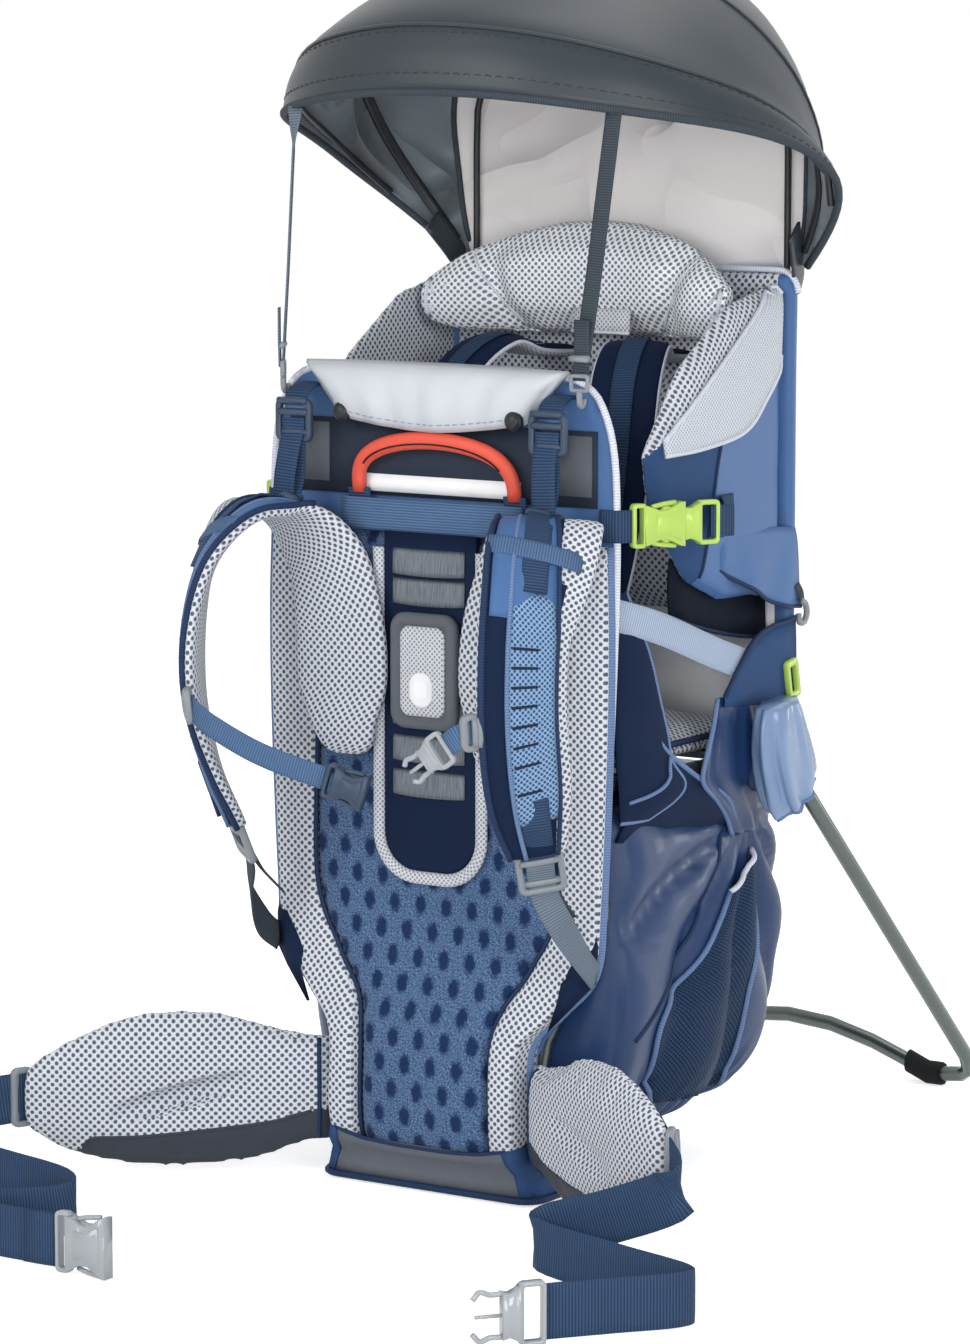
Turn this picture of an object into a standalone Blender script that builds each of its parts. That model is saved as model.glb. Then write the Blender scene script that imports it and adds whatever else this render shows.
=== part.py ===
"""Framed child carrier backpack with sunshade, harness, hip belt and folding stand.

Metres, +Z up. -Y faces the wearer, +Y points to the child, the bag and the stand.
Left and right are as seen from the wearer's side, with +X to the right.
The origin lies on the floor under the back panel.
"""
import bmesh
import bpy
import numpy as np
from math import cos, pi, radians, sin, tan
from mathutils import Matrix, Vector

# Clearances and shared sections
FIT = 0.0003
RUN_CLEARANCE = 0.0008
TUBE_RADIUS = 0.007
TUBE_SIDES = 12
SHARP_EDGE = 40
SIDES = (("left", -1), ("right", 1))

# Cushion edge as shares of its height, risen and drawn in, and the rings of its dome
CUSHION_EDGE = ((0.0, 0.25), (0.35, 0.0), (0.75, 0.08), (1.0, 0.40))
CUSHION_DOME = (0.85, 0.55, 0.20)

# Section of a padded strap: width share of its flat, width and thickness shares of its shoulder
PAD_FLAT = 0.40
PAD_EDGE = 0.82
PAD_SHOULDER = 0.80

# Stiff back plate: its two faces along Y and its outline heights and half widths
PLATE_FRONT = 0.012
PLATE_THICKNESS = 0.004
PLATE_BACK = PLATE_FRONT + PLATE_THICKNESS
PLATE_OUTLINE = ((0.085, 0.0228), (0.088, 0.120), (0.138, 0.175), (0.150, 0.300),
                 (0.158, 0.480), (0.158, 0.575), (0.140, 0.625), (0.108, 0.642))

# Aluminium frame loop behind the plate, as half widths and heights
FRAME_Y = PLATE_BACK + FIT + TUBE_RADIUS
FRAME_OUTLINE = ((0.070, 0.0305), (0.088, 0.125), (0.138, 0.225), (0.139, 0.585),
                 (0.105, 0.628))
FRAME_BEND = 0.030
BEND_STEPS = 3

# Base boot that the pack stands on
BOOT_HALF_WIDTH = 0.100
BOOT_FRONT = -0.010
BOOT_BACK = 0.110
BOOT_HEIGHT = 0.0225
BOOT_BEVEL = 0.005

# Back padding: height, half width of the centre pad, half width of the side pads, front face
PAD_BACK = PLATE_FRONT - FIT
PAD_STATIONS = ((0.026, 0.060, 0.086, -0.016), (0.060, 0.061, 0.090, -0.024),
                (0.122, 0.061, 0.091, -0.022), (0.152, 0.068, 0.118, -0.012),
                (0.185, 0.090, 0.146, -0.004), (0.240, 0.113, 0.152, 0.000),
                (0.360, 0.112, 0.157, 0.000), (0.450, 0.116, 0.158, 0.000),
                (0.515, 0.118, 0.156, 0.001))
PAD_STEPS = 2
PAD_SECTION = ((0.04, 0), (0.96, 0), (1, 0.45), (0.94, 0.85), (0.70, 1), (0.30, 1), (0.06, 0.85),
               (0, 0.45))
PAD_FACE = PAD_STATIONS[6][3]

# Height adjuster: tongue panel with webbing rungs, and the pad that grips a rung
PANEL_HALF_WIDTH = 0.046
PANEL_LOW = 0.250
PANEL_TOP = 0.518
PANEL_THICKNESS = 0.005
PANEL_CORNER = 0.034
RUNG_HEIGHT = 0.019
RUNG_RISE = 0.0018
RUNG_HALF_WIDTH = 0.032
RUNG_CENTRES = (0.323, 0.350, 0.378, 0.405, 0.432, 0.472, 0.495)
GRIP_HALF_WIDTH = 0.031
GRIP_LOW = 0.366
GRIP_TOP = 0.457
GRIP_THICKNESS = 0.010
GRIP_CROWN = 0.003
GRIP_CORNER = 0.010

# Shoulder straps: centre line of the right strap, its turn about Z in degrees and its width
STRAP_THICKNESS = 0.013
STRAP_BASE_Y = PAD_FACE - FIT - PANEL_THICKNESS - RUNG_RISE - RUN_CLEARANCE - STRAP_THICKNESS / 2
STRAP_ROUTE = ((0.0750, STRAP_BASE_Y, 0.366, 0, 0.060), (0.0755, STRAP_BASE_Y, 0.400, 0, 0.083),
               (0.0785, STRAP_BASE_Y, 0.450, 0, 0.081), (0.0930, STRAP_BASE_Y, 0.498, 3, 0.074),
               (0.1170, -0.0290, 0.528, 14, 0.070), (0.1340, -0.0580, 0.532, 34, 0.070),
               (0.1460, -0.0890, 0.500, 52, 0.073), (0.1500, -0.1050, 0.450, 60, 0.075),
               (0.1500, -0.1060, 0.395, 60, 0.074), (0.1460, -0.0900, 0.338, 52, 0.066),
               (0.1410, -0.0700, 0.292, 40, 0.044))
STRAP_STEPS = 2
LOAD_ROUTE_STEPS = 4
STERNUM_ROUTE_STEPS = 8

# Webbing and its ladder locks
WEB_THICKNESS = 0.0022
NARROW_WEB = 0.020
WIDE_WEB = 0.025
BELT_WEB = 0.040
LOCK_LENGTH = 0.030
LOCK_THICKNESS = 0.007
LOCK_BAR = 0.0045
LOWER_STRAP_MIDDLE = (0.1450, -0.0420, 0.2300)
LOWER_STRAP_FOOT_Y = 0.0020
LOWER_STRAP_FOOT_Z = 0.185
LOWER_STRAP_STEPS = 4
LOWER_STRAP_CLIMB = 0.75
LOWER_STRAP_FLAT = (0, 0.6, 0.8)
LOWER_STRAP_TWIST = 0.4
WEB_LEAD = 0.008

# Load lifter locks on the top corners of the plate
LIFT_X = 0.117
LIFT_LOCK_Y = -0.0190
LIFT_LOCK_TOP = 0.617
LIFT_LOCK_HEIGHT = 0.032
LIFT_ANCHOR_Z = 0.6265
LOAD_STRAP_SAG = 0.004

# Carry handle
HANDLE_RADIUS = 0.0068
HANDLE_HALF_SPAN = 0.072
HANDLE_FOOT_Z = 0.5460
HANDLE_RISE = 0.043
HANDLE_LEAN = 0.006
HANDLE_STEPS = 14
HANDLE_SQUARE = 0.6
HANDLE_Y = PLATE_FRONT - FIT - HANDLE_RADIUS

# Drool pad over the top edge of the plate
DROOL_TOP = 0.650
DROOL_BOTTOM = 0.598
DROOL_TOP_HALF = 0.121
DROOL_BOTTOM_HALF = 0.088
DROOL_THICKNESS = 0.025
DROOL_CROWN = 0.007
DROOL_CORNER = 0.008
CUSHION_DRAW = 0.003

# Seat frame, stand pivot and stand
SEAT_FRAME_Z = 0.330
SEAT_FRAME_X = 0.160
SEAT_FRAME_REAR = 0.250
PIVOT_Y = 0.215
PIVOT_DROP = 0.005
PIVOT_Z = SEAT_FRAME_Z - PIVOT_DROP
STAND_RADIUS = 0.0065
STAND_FOOT_Y = 0.548
STAND_CORNER = 0.036
STAND_ARCH_Y = 0.560
STAND_ARCH_Z = 0.042
STAND_SOLE = 0.0035
STAND_BAR_X = 0.145
BRACKET_WIDTH = 0.017
BRACKET_LENGTH = 0.044
BRACKET_HEIGHT = 0.040
BRACKET_BEVEL = 0.004
BORE_SPAN = (-0.5, 1.5)
BRACKET_INNER = SEAT_FRAME_X + TUBE_RADIUS + FIT
STAND_ELBOW = 0.010
STAND_ARM_X = BRACKET_INNER + BRACKET_WIDTH + RUN_CLEARANCE + STAND_ELBOW
STAND_ARCH_SHARES = (0.86, 0.60, 0.30)
SEAT_FRAME_LEAD = 0.012
SEAT_FRAME_SPREAD = 0.070

# Child's compartment: side walls, rear wall, and the pads inside it
WALL_INNER_X = 0.150
WALL_THICKNESS = 0.014
WALL_CROWN = 0.004
WALL_CORNER = 0.012
WALL_OUTLINE = ((0.052, 0.582), (0.105, 0.646), (0.180, 0.692), (0.2643, 0.708),
                (0.2643, 0.452), (0.170, 0.455), (0.118, 0.475), (0.062, 0.535))
REAR_FRONT = WALL_OUTLINE[3][0] + FIT
REAR_THICKNESS = 0.019
REAR_BACK = REAR_FRONT + REAR_THICKNESS
REAR_OVERLAP = 0.002
REAR_HALF_WIDTH = WALL_INNER_X + WALL_THICKNESS + REAR_OVERLAP
REAR_TOP = 0.712
REAR_CORNER = 0.016
SEAT_HALF_WIDTH = 0.153
SEAT_CLEARANCE = 0.006
SEAT_FRONT = FRAME_Y + TUBE_RADIUS + SEAT_CLEARANCE
SEAT_BACK = 0.234
SEAT_THICKNESS = 0.030
SEAT_CROWN = 0.012
SEAT_CORNER = 0.025
BACKREST_THICKNESS = 0.027
BACKREST_CROWN = 0.010
BACKREST_CORNER = 0.022
BACKREST_HALF_WIDTH = 0.115
BACKREST_LOW = 0.432
BACKREST_TOP = 0.628
HEAD_HALF_WIDTH = 0.144
HEAD_LOW = 0.655
HEAD_TOP = 0.752
HEAD_DEPTH = 0.040
HEAD_SWEEP = 0.050
HEAD_DROP = 0.045
HEAD_SEAM = 0.56
HEAD_SEAM_DEPTH = 0.005
HEAD_SEAM_ROLL = 0.06
HEAD_SHARES = (0.25, HEAD_SEAM - HEAD_SEAM_ROLL, HEAD_SEAM, HEAD_SEAM + HEAD_SEAM_ROLL, 0.78, 0.92, 1)
HEAD_SECTION = ((0, 0.08), (0, 0.90), (0.25, 1), (0.7, 0.95), (1, 0.7), (1, 0.35), (0.75, 0.05),
                (0.3, 0))
HEAD_THINNING = 0.45

# Child's harness straps: half spacing, distance in front of the rear wall, height and width
CHILD_STRAP_ROOT = (BACKREST_TOP + HEAD_LOW) / 2
CHILD_STRAP_THICKNESS = 0.010
CHILD_STRAP_LEAD = 0.012
CHILD_STRAP_ROUTE = ((0.055, CHILD_STRAP_LEAD, CHILD_STRAP_ROOT, 0.038),
                     (0.058, 0.045, 0.6445, 0.046), (0.067, 0.075, 0.652, 0.053),
                     (0.080, 0.112, 0.627, 0.056), (0.088, 0.136, 0.570, 0.054),
                     (0.084, 0.140, 0.510, 0.046), (0.074, 0.128, 0.462, 0.030))
CHILD_STRAP_STEPS = 2
CHILD_STRAP_TURN = 14

# Storage bag: height, half width, front and back of each level
BAG_FRONT = FRAME_Y + TUBE_RADIUS + FIT
BAG_LEVELS = ((0.045, 0.112, 0.050, 0.200), (0.060, 0.132, BAG_FRONT, 0.245),
              (0.110, 0.147, BAG_FRONT, 0.286), (0.200, 0.152, BAG_FRONT, 0.292),
              (0.290, 0.150, BAG_FRONT, 0.285), (0.310, 0.146, BAG_FRONT, 0.281))
BAG_CORNER = 0.030
POCKET_FRONT = 0.075
POCKET_BACK = 0.232
POCKET_SWELL = 0.014
POCKET_WALL = 0.0015
POCKET_SWELLS = (0.35, 0.8, 1.0, 0.9)
POCKET_SECTION = ((0, 0), (0, 1), (0.45, 0.97), (0.9, 0.80), (1, 0.5), (0.9, 0.20), (0.45, 0.03))

# Sunshade: pivot line, the hoops as lift angle, reach and half width, and the cloth
ROD_RADIUS = 0.0028
SHADE_PIVOT_X = 0.156
SHADE_GAP = 0.0005
SHADE_PIVOT_Y = REAR_BACK + SHADE_GAP + ROD_RADIUS
SHADE_PIVOT_DROP = 0.008
SHADE_PIVOT_Z = REAR_TOP - SHADE_PIVOT_DROP
SHADE_HOOPS = ((26.5, 0.340, 0.230, 0.38), (32.0, 0.352, 0.226, 0.38),
               (37.0, 0.352, 0.214, 0.40), (50.0, 0.322, 0.206, 0.42),
               (65.0, 0.290, 0.196, 0.44), (80.0, 0.262, 0.178, 0.46),
               (90.0, 0.240, 0.156, 0.50))
SHADE_CLOTH = 0.003
SHADE_Y = SHADE_PIVOT_Y + ROD_RADIUS + FIT + SHADE_CLOTH / 2
SHADE_HALF_STEPS = 10
SHADE_BEND = 0.35
SHADE_CURL = 0.71
SHADE_CURL_POWER = 1.7
SHADE_SQUARE = 0.85
SHADE_REAR_SHARES = (0.62, 0.30)
ROD_INSET = 0.008
FRONT_ROD_SHARE = 0.6
FRONT_ROD_SKIP_STEPS = 2
SHADE_STRAP_WIDTH = 0.014
SHADE_STRAP_THICKNESS = 0.0018
SHADE_STRAP_SHARE = 0.74
SHADE_STRAP_LEAD = 0.02
SHADE_STRAP_WIDTHS = (1, 1, 0.9, 0.7)
SHADE_HOOK_X = 0.1365
SHADE_HOOK_Y = -0.006
SHADE_HOOK_Z = 0.632
SHADE_HOOK_HEIGHT = 0.022
SHADE_HOOK_THICKNESS = 0.006

# Hip fins: distance from the hinge, low edge and high edge of the fin
FIN_THICKNESS = 0.020
FIN_STEPS = 2
FIN_GROOVE = 0.006
FIN_GROOVE_SPAN = (0.060, 0.190)
FIN_GROOVE_SHARE = 0.12
FIN_TIP_SHARE = 0.6
FIN_ROOT_TURNS = (15, 50)
HIP_Y = -0.003
HIP_TURN = 35
FIN_STATIONS = ((0.012, 0.0245, 0.116), (0.045, 0.012, 0.124), (0.090, 0.004, 0.136),
                (0.150, 0.004, 0.134), (0.205, 0.016, 0.112), (0.240, 0.036, 0.090))
FIN_TIP_LIFT = {"left": 0.0, "right": 0.028}
BELT_ROUTES = {
    "left": ((-0.345, -0.190, 0.054), (-0.318, -0.236, 0.045), (-0.230, -0.268, 0.040),
             (-0.142, -0.284, 0.036), (-0.128, -0.306, 0.030), (-0.180, -0.332, 0.024),
             (-0.198, -0.352, 0.0235), (-0.150, -0.359, 0.0235), (-0.092, -0.359, 0.0235)),
    "right": ((0.322, -0.168, 0.076), (0.270, -0.172, 0.052), (0.222, -0.178, 0.036),
              (0.222, -0.194, 0.028), (0.300, -0.210, 0.024), (0.370, -0.230, 0.0235),
              (0.376, -0.252, 0.0235), (0.346, -0.290, 0.0235), (0.314, -0.330, 0.0235)),
}
BELT_STEPS = 3
BELT_LEAD = 0.006

# Release buckles: the wall of a socket, shares of a plug's length, and three sizes of buckle
SOCKET_WALL = 0.0025
SOCKET_NECK = 0.15
SOCKET_FLOOR = 0.40
PLUG_BODY = 0.70
PLUG_NECK = 0.10
PLUG_TONGUE = 0.50
PLUG_TIP = (0.7, 0.8)
PLUG_TAIL_SINK = 0.04
BUCKLE_TAPER = (0.90, 0.80)
SIDE_BUCKLE_LENGTH = 0.045
SIDE_BUCKLE_MARGIN = 0.009
SIDE_BUCKLE_THICKNESS = 0.012
SIDE_BUCKLE_X = 0.1670
SIDE_BUCKLE_Y = 0.0200
SIDE_BUCKLE_Z = 0.531
SIDE_BUCKLE_TURN = 27.4
SIDE_STRAP_X = 0.1450
SIDE_STRAP_BOW = 0.6
SIDE_TAIL_Y = (0.128, 0.152, 0.172)
SIDE_TAIL_X = (0.018, 0.002, 0.0)
HIP_BUCKLE_LENGTH = 0.046
HIP_BUCKLE_MARGIN = 0.006
HIP_BUCKLE_THICKNESS = 0.013
STERNUM_BUCKLE_LENGTH = 0.034
STERNUM_BUCKLE_MARGIN = 0.008
STERNUM_BUCKLE_THICKNESS = 0.010
STERNUM_STEPS = {
    "left": ((0.026, -0.012, -0.012), (0.070, -0.007, -0.032), (0.122, 0.005, -0.048)),
    "right": ((-0.010, -0.010, -0.004), (-0.018, -0.011, -0.010)),
}

# Stirrup web across the leg opening: front and rear heights, and its middle points
STIRRUP_FRONT_Z = 0.462
STIRRUP_REAR = (0.1640, 0.386)
STIRRUP_STEPS = 3
STIRRUP_MIDDLE = ((0.1560, 0.0800, 0.446), (0.1660, 0.1600, 0.416))


def clear_scene():
    """Remove every object that the scene starts with."""
    for item in list(bpy.data.objects):
        bpy.data.objects.remove(item, do_unlink=True)


def paint(name, colour, roughness, metallic=0.0):
    """Make a Principled material with one colour."""
    mat = bpy.data.materials.new(name)
    mat.use_nodes = True
    shader = mat.node_tree.nodes["Principled BSDF"]
    shader.inputs["Base Color"].default_value = (*colour, 1.0)
    shader.inputs["Roughness"].default_value = roughness
    shader.inputs["Metallic"].default_value = metallic
    return mat


def make_materials():
    """Make the finish of each kind of piece."""
    return {
        "tube": paint("anodised_tube", (0.16, 0.18, 0.17), 0.35, 0.9),
        "mesh": paint("grey_mesh", (0.55, 0.56, 0.60), 0.9),
        "blue": paint("blue_cloth", (0.10, 0.17, 0.34), 0.7),
        "navy": paint("navy_webbing", (0.06, 0.09, 0.17), 0.75),
        "dark": paint("dark_cloth", (0.05, 0.06, 0.08), 0.8),
        "slate": paint("slate_nylon", (0.10, 0.12, 0.14), 0.45),
        "silver": paint("silver_cloth", (0.70, 0.71, 0.75), 0.5),
        "plastic": paint("dark_plastic", (0.10, 0.12, 0.16), 0.45),
        "pale": paint("pale_plastic", (0.60, 0.61, 0.63), 0.35),
        "lime": paint("lime_plastic", (0.62, 0.85, 0.16), 0.4),
        "red": paint("red_rubber", (0.75, 0.16, 0.11), 0.5),
        "rubber": paint("black_rubber", (0.02, 0.02, 0.02), 0.8),
    }


def finish(name, shape, mat, round_shape=True):
    """Turn a bmesh into a named object with outward faces."""
    bmesh.ops.recalc_face_normals(shape, faces=shape.faces)
    if shape.calc_volume(signed=True) < 0:
        bmesh.ops.reverse_faces(shape, faces=shape.faces)
    mesh = bpy.data.meshes.new(name)
    shape.to_mesh(mesh)
    shape.free()
    mesh.materials.append(mat)
    if round_shape:
        mesh.shade_smooth()
        mesh.set_sharp_from_angle(angle=radians(SHARP_EDGE))
    item = bpy.data.objects.new(name, mesh)
    bpy.context.scene.collection.objects.link(item)
    return item


def loft(name, rings, mat, cyclic=False):
    """Skin equal rings of points into one closed body."""
    shape = bmesh.new()
    rows = [[shape.verts.new(point) for point in ring] for ring in rings]
    pairs = list(zip(rows, rows[1:]))
    if cyclic:
        pairs.append((rows[-1], rows[0]))
    for low, high in pairs:
        for index in range(len(low)):
            after = (index + 1) % len(low)
            shape.faces.new((low[index], low[after], high[after], high[index]))
    if not cyclic:
        shape.faces.new(rows[0])
        shape.faces.new(rows[-1])
    return finish(name, shape, mat)


def prism(name, near, far, mat):
    """Join two like outlines into a plate."""
    return loft(name, [near, far], mat)


def inset_ring(ring, out, depth):
    """Draw a ring in by a depth, square to its sides, in the plane with normal out."""
    ways = tangents(ring, cyclic=True)
    area = sum((a.cross(b).dot(out) for a, b in zip(ring, ring[1:] + ring[:1])), 0.0)
    inward = 1 if area > 0 else -1
    return [point + out.cross(way) * (inward * depth) for point, way in zip(ring, ways)]


def cushion(name, outline, out, thickness, crown, mat):
    """Pad on an outline, with drawn-in sides, a round edge and a crowned face."""
    out = Vector(out)
    edge = thickness - crown
    rings = [[point + out * (edge * rise) for point in inset_ring(outline, out, edge * draw)]
             for rise, draw in CUSHION_EDGE]
    rim = rings[-1]
    centre = sum(rim, Vector((0, 0, 0))) / len(rim)
    for share in CUSHION_DOME:
        lift = out * (crown * (1 - share * share))
        rings.append([centre + (point - centre) * share + lift for point in rim])
    return loft(name, rings, mat)


def soft_outline(corners, radius, draw=0.0):
    """Round the corners of an outline and draw each side in at its middle."""
    knots = []
    radii = []
    points = [Vector(corner) for corner in corners]
    centre = sum(points, Vector((0, 0, 0))) / len(points)
    for corner, after in zip(points, points[1:] + points[:1]):
        middle = (corner + after) / 2
        knots += [corner, middle + (centre - middle).normalized() * draw]
        radii += [radius, 0.0]
    return bent_path(knots, radii, cyclic=True)


def smooth_rows(rows, steps):
    """Read rows of numbers from a smooth curve through the given rows."""
    knots = [np.array(row, dtype=float) for row in rows]
    knots = [2 * knots[0] - knots[1]] + knots + [2 * knots[-1] - knots[-2]]
    result = []
    for before, start, end, after in zip(knots, knots[1:], knots[2:], knots[3:]):
        for step in range(steps):
            t = step / steps
            result.append(0.5 * (2 * start + (end - before) * t
                                 + (2 * before - 5 * start + 4 * end - after) * t * t
                                 + (3 * start - before - 3 * end + after) * t ** 3))
    return [row.tolist() for row in result + [knots[-2]]]


def tangents(points, cyclic=False):
    """Give the direction of a route at each of its points."""
    count = len(points)
    result = []
    for index in range(count):
        before = points[index - 1] if cyclic or index else points[0]
        after = points[(index + 1) % count] if cyclic or index + 1 < count else points[-1]
        result.append((after - before).normalized())
    return result


def round_rings(points, radius, cyclic=False):
    """Put a ring of points round each point of a route, without twist."""
    ways = tangents(points, cyclic)
    side = ways[0].orthogonal().normalized()
    rings = []
    for point, way in zip(points, ways):
        side = (side - way * side.dot(way)).normalized()
        over = way.cross(side)
        rings.append([point + radius * (side * cos(2 * pi * k / TUBE_SIDES)
                                        + over * sin(2 * pi * k / TUBE_SIDES))
                      for k in range(TUBE_SIDES)])
    return rings


def planar_rings(points, radius, normal, cyclic=False):
    """Put rings round a route that lies in a plane with the given normal."""
    over = Vector(normal).normalized()
    rings = []
    for point, way in zip(points, tangents(points, cyclic)):
        side = way.cross(over).normalized()
        rings.append([point + radius * (side * cos(2 * pi * k / TUBE_SIDES)
                                        + over * sin(2 * pi * k / TUBE_SIDES))
                      for k in range(TUBE_SIDES)])
    return rings


def mirror_points(points):
    """Continue a half outline on the other side of X = 0."""
    return list(points) + [(-point[0], *point[1:]) for point in reversed(points)]


def flat_section(centre, across, normal, width, thickness):
    """Square section of webbing."""
    side = across * (width / 2)
    rise = normal * (thickness / 2)
    return [centre - side - rise, centre + side - rise,
            centre + side + rise, centre - side + rise]


def pad_section(centre, across, normal, width, thickness):
    """Crowned section of a padded strap with drawn-in sides."""
    side = across * (width / 2)
    rise = normal * (thickness / 2)
    half = [(-1, 0), (-PAD_EDGE, -PAD_SHOULDER), (-PAD_FLAT, -1), (PAD_FLAT, -1),
            (PAD_EDGE, -PAD_SHOULDER)]
    shape = half + [(-out, -up) for out, up in half]
    return [centre + side * out + rise * up for out, up in shape]


def fin_section(centre, across, normal, width, thickness, groove):
    """Section of a hip fin with a sewn channel along the middle of its inner face."""
    side = across * (width / 2)
    rise = normal * (thickness / 2)
    ring = pad_section(centre, across, normal, width, thickness)
    channel = [centre - side * FIN_GROOVE_SHARE - rise, centre - rise + normal * groove,
               centre + side * FIN_GROOVE_SHARE - rise]
    return ring[:3] + channel + ring[3:]


def ribbon(name, points, acrosses, widths, thickness, mat, section=flat_section):
    """Skin a strap along a route with a width direction at each point."""
    rings = []
    for point, way, across, width in zip(points, tangents(points), acrosses, widths):
        side = (across - way * across.dot(way)).normalized()
        rings.append(section(point, side, way.cross(side), width, thickness))
    return loft(name, rings, mat)


def webbing(name, points, width, mat, across, thickness=WEB_THICKNESS):
    """Make a strap of even width with one width direction."""
    route = [Vector(point) for point in points]
    count = len(route)
    return ribbon(name, route, [Vector(across)] * count, [width] * count, thickness, mat)


def block(name, low, high, mat, bevel=0.0):
    """Make a box between two corners with soft edges."""
    shape = bmesh.new()
    bmesh.ops.create_cube(shape, size=1.0)
    size = [b - a for a, b in zip(low, high)]
    middle = [(a + b) / 2 for a, b in zip(low, high)]
    bmesh.ops.scale(shape, vec=size, verts=shape.verts)
    bmesh.ops.translate(shape, vec=middle, verts=shape.verts)
    if bevel:
        bmesh.ops.bevel(shape, geom=list(shape.edges), offset=bevel, segments=1, affect="EDGES")
    return finish(name, shape, mat, round_shape=False)


def boolean(item, cutter, operation):
    """Apply a Boolean between two objects and drop the second one."""
    step = item.modifiers.new("cut", "BOOLEAN")
    step.operation = operation
    step.solver = "EXACT"
    step.object = cutter
    graph = bpy.context.evaluated_depsgraph_get()
    mesh = bpy.data.meshes.new_from_object(item.evaluated_get(graph))
    item.modifiers.clear()
    item.data = mesh
    bpy.data.objects.remove(cutter, do_unlink=True)
    return item


def place(item, origin, along, up):
    """Move a piece built about the origin to a place, with X along and Z up."""
    x_axis = Vector(along).normalized()
    y_axis = Vector(up).cross(x_axis).normalized()
    z_axis = x_axis.cross(y_axis)
    turn = Matrix((x_axis, y_axis, z_axis)).transposed().to_4x4()
    item.data.transform(Matrix.Translation(origin) @ turn)
    return item


def pivot(name, location):
    """Put an empty on a joint's axis."""
    empty = bpy.data.objects.new(name, None)
    empty.location = location
    bpy.context.scene.collection.objects.link(empty)
    return empty


def hang(items, empty):
    """Parent pieces to a joint's empty and leave them where they are."""
    for item in items:
        item.parent = empty
        item.matrix_parent_inverse = Matrix.Translation(empty.location).inverted()


def bent_path(corners, radii, cyclic=False):
    """Round the corners of straight runs, as a tube bender does."""
    knots = [Vector(corner) for corner in corners]
    count = len(knots)
    route = []
    for index, corner in enumerate(knots):
        if radii[index] == 0 or not cyclic and index in (0, count - 1):
            route.append(corner)
            continue
        back = (knots[index - 1] - corner).normalized()
        ahead = (knots[(index + 1) % count] - corner).normalized()
        reach = radii[index] / tan(back.angle(ahead) / 2)
        start = corner + back * reach
        end = corner + ahead * reach
        for step in range(BEND_STEPS + 1):
            t = step / BEND_STEPS
            route.append(start * (1 - t) ** 2 + corner * 2 * t * (1 - t) + end * t * t)
    return route


def make_frame_tube(mats):
    """Aluminium loop that stiffens the back plate."""
    corners = [(x, FRAME_Y, z) for x, z in mirror_points(FRAME_OUTLINE)]
    route = bent_path(corners, [FRAME_BEND] * len(corners), cyclic=True)
    return loft("frame_tube", planar_rings(route, TUBE_RADIUS, (0, 1, 0), True), mats["tube"], True)


def frame_half_width(height):
    """Half width of the frame loop at a height on its upright."""
    low, high = FRAME_OUTLINE[2], FRAME_OUTLINE[3]
    return low[0] + (high[0] - low[0]) * (height - low[1]) / (high[1] - low[1])


def make_seat_frame(mats):
    """U-shaped tube that carries the seat and the stand."""
    front = FRAME_Y + TUBE_RADIUS + FIT
    start = frame_half_width(SEAT_FRAME_Z)
    half = ((start, front), (start, front + SEAT_FRAME_LEAD),
            (SEAT_FRAME_X, front + SEAT_FRAME_SPREAD), (SEAT_FRAME_X, SEAT_FRAME_REAR))
    corners = [(x, y, SEAT_FRAME_Z) for x, y in mirror_points(half)]
    route = bent_path(corners, [FRAME_BEND] * len(corners))
    return loft("seat_frame", planar_rings(route, TUBE_RADIUS, (0, 0, 1)), mats["tube"])


def make_bracket(name, side, mats):
    """Plastic block with the bore that the stand turns in."""
    ends = sorted((side * BRACKET_INNER, side * (BRACKET_INNER + BRACKET_WIDTH)))
    low = (ends[0], PIVOT_Y - BRACKET_LENGTH / 2, PIVOT_Z - BRACKET_HEIGHT / 2)
    high = (ends[1], PIVOT_Y + BRACKET_LENGTH / 2, PIVOT_Z + BRACKET_HEIGHT / 2)
    item = block(name, low, high, mats["plastic"], BRACKET_BEVEL)
    bore = (STAND_RADIUS + FIT) / cos(pi / TUBE_SIDES)
    points = [Vector((side * (BRACKET_INNER + BRACKET_WIDTH * share), PIVOT_Y, PIVOT_Z))
              for share in BORE_SPAN]
    cutter = loft("bore", round_rings(points, bore), mats["plastic"])
    return boolean(item, cutter, "DIFFERENCE")


def stand_route():
    """Centre line of the stand from its right stub to its left one."""
    stub = BRACKET_INNER + FIT
    floor = STAND_SOLE + STAND_RADIUS
    corners = [(stub, PIVOT_Y, PIVOT_Z), (STAND_ARM_X, PIVOT_Y, PIVOT_Z),
               (STAND_ARM_X, STAND_FOOT_Y, floor), (STAND_BAR_X, STAND_FOOT_Y, floor)]
    bends = [0, STAND_ELBOW, STAND_CORNER, 0]
    half = bent_path(corners, bends)
    for share in STAND_ARCH_SHARES:
        rise = cos(share * pi / 2)
        half.append(Vector((STAND_BAR_X * share,
                            STAND_FOOT_Y + (STAND_ARCH_Y - STAND_FOOT_Y) * rise,
                            floor + (STAND_ARCH_Z - floor) * rise)))
    middle = Vector((0, STAND_ARCH_Y, STAND_ARCH_Z))
    other = [Vector((-point.x, point.y, point.z)) for point in reversed(half)]
    return half + [middle] + other


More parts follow.
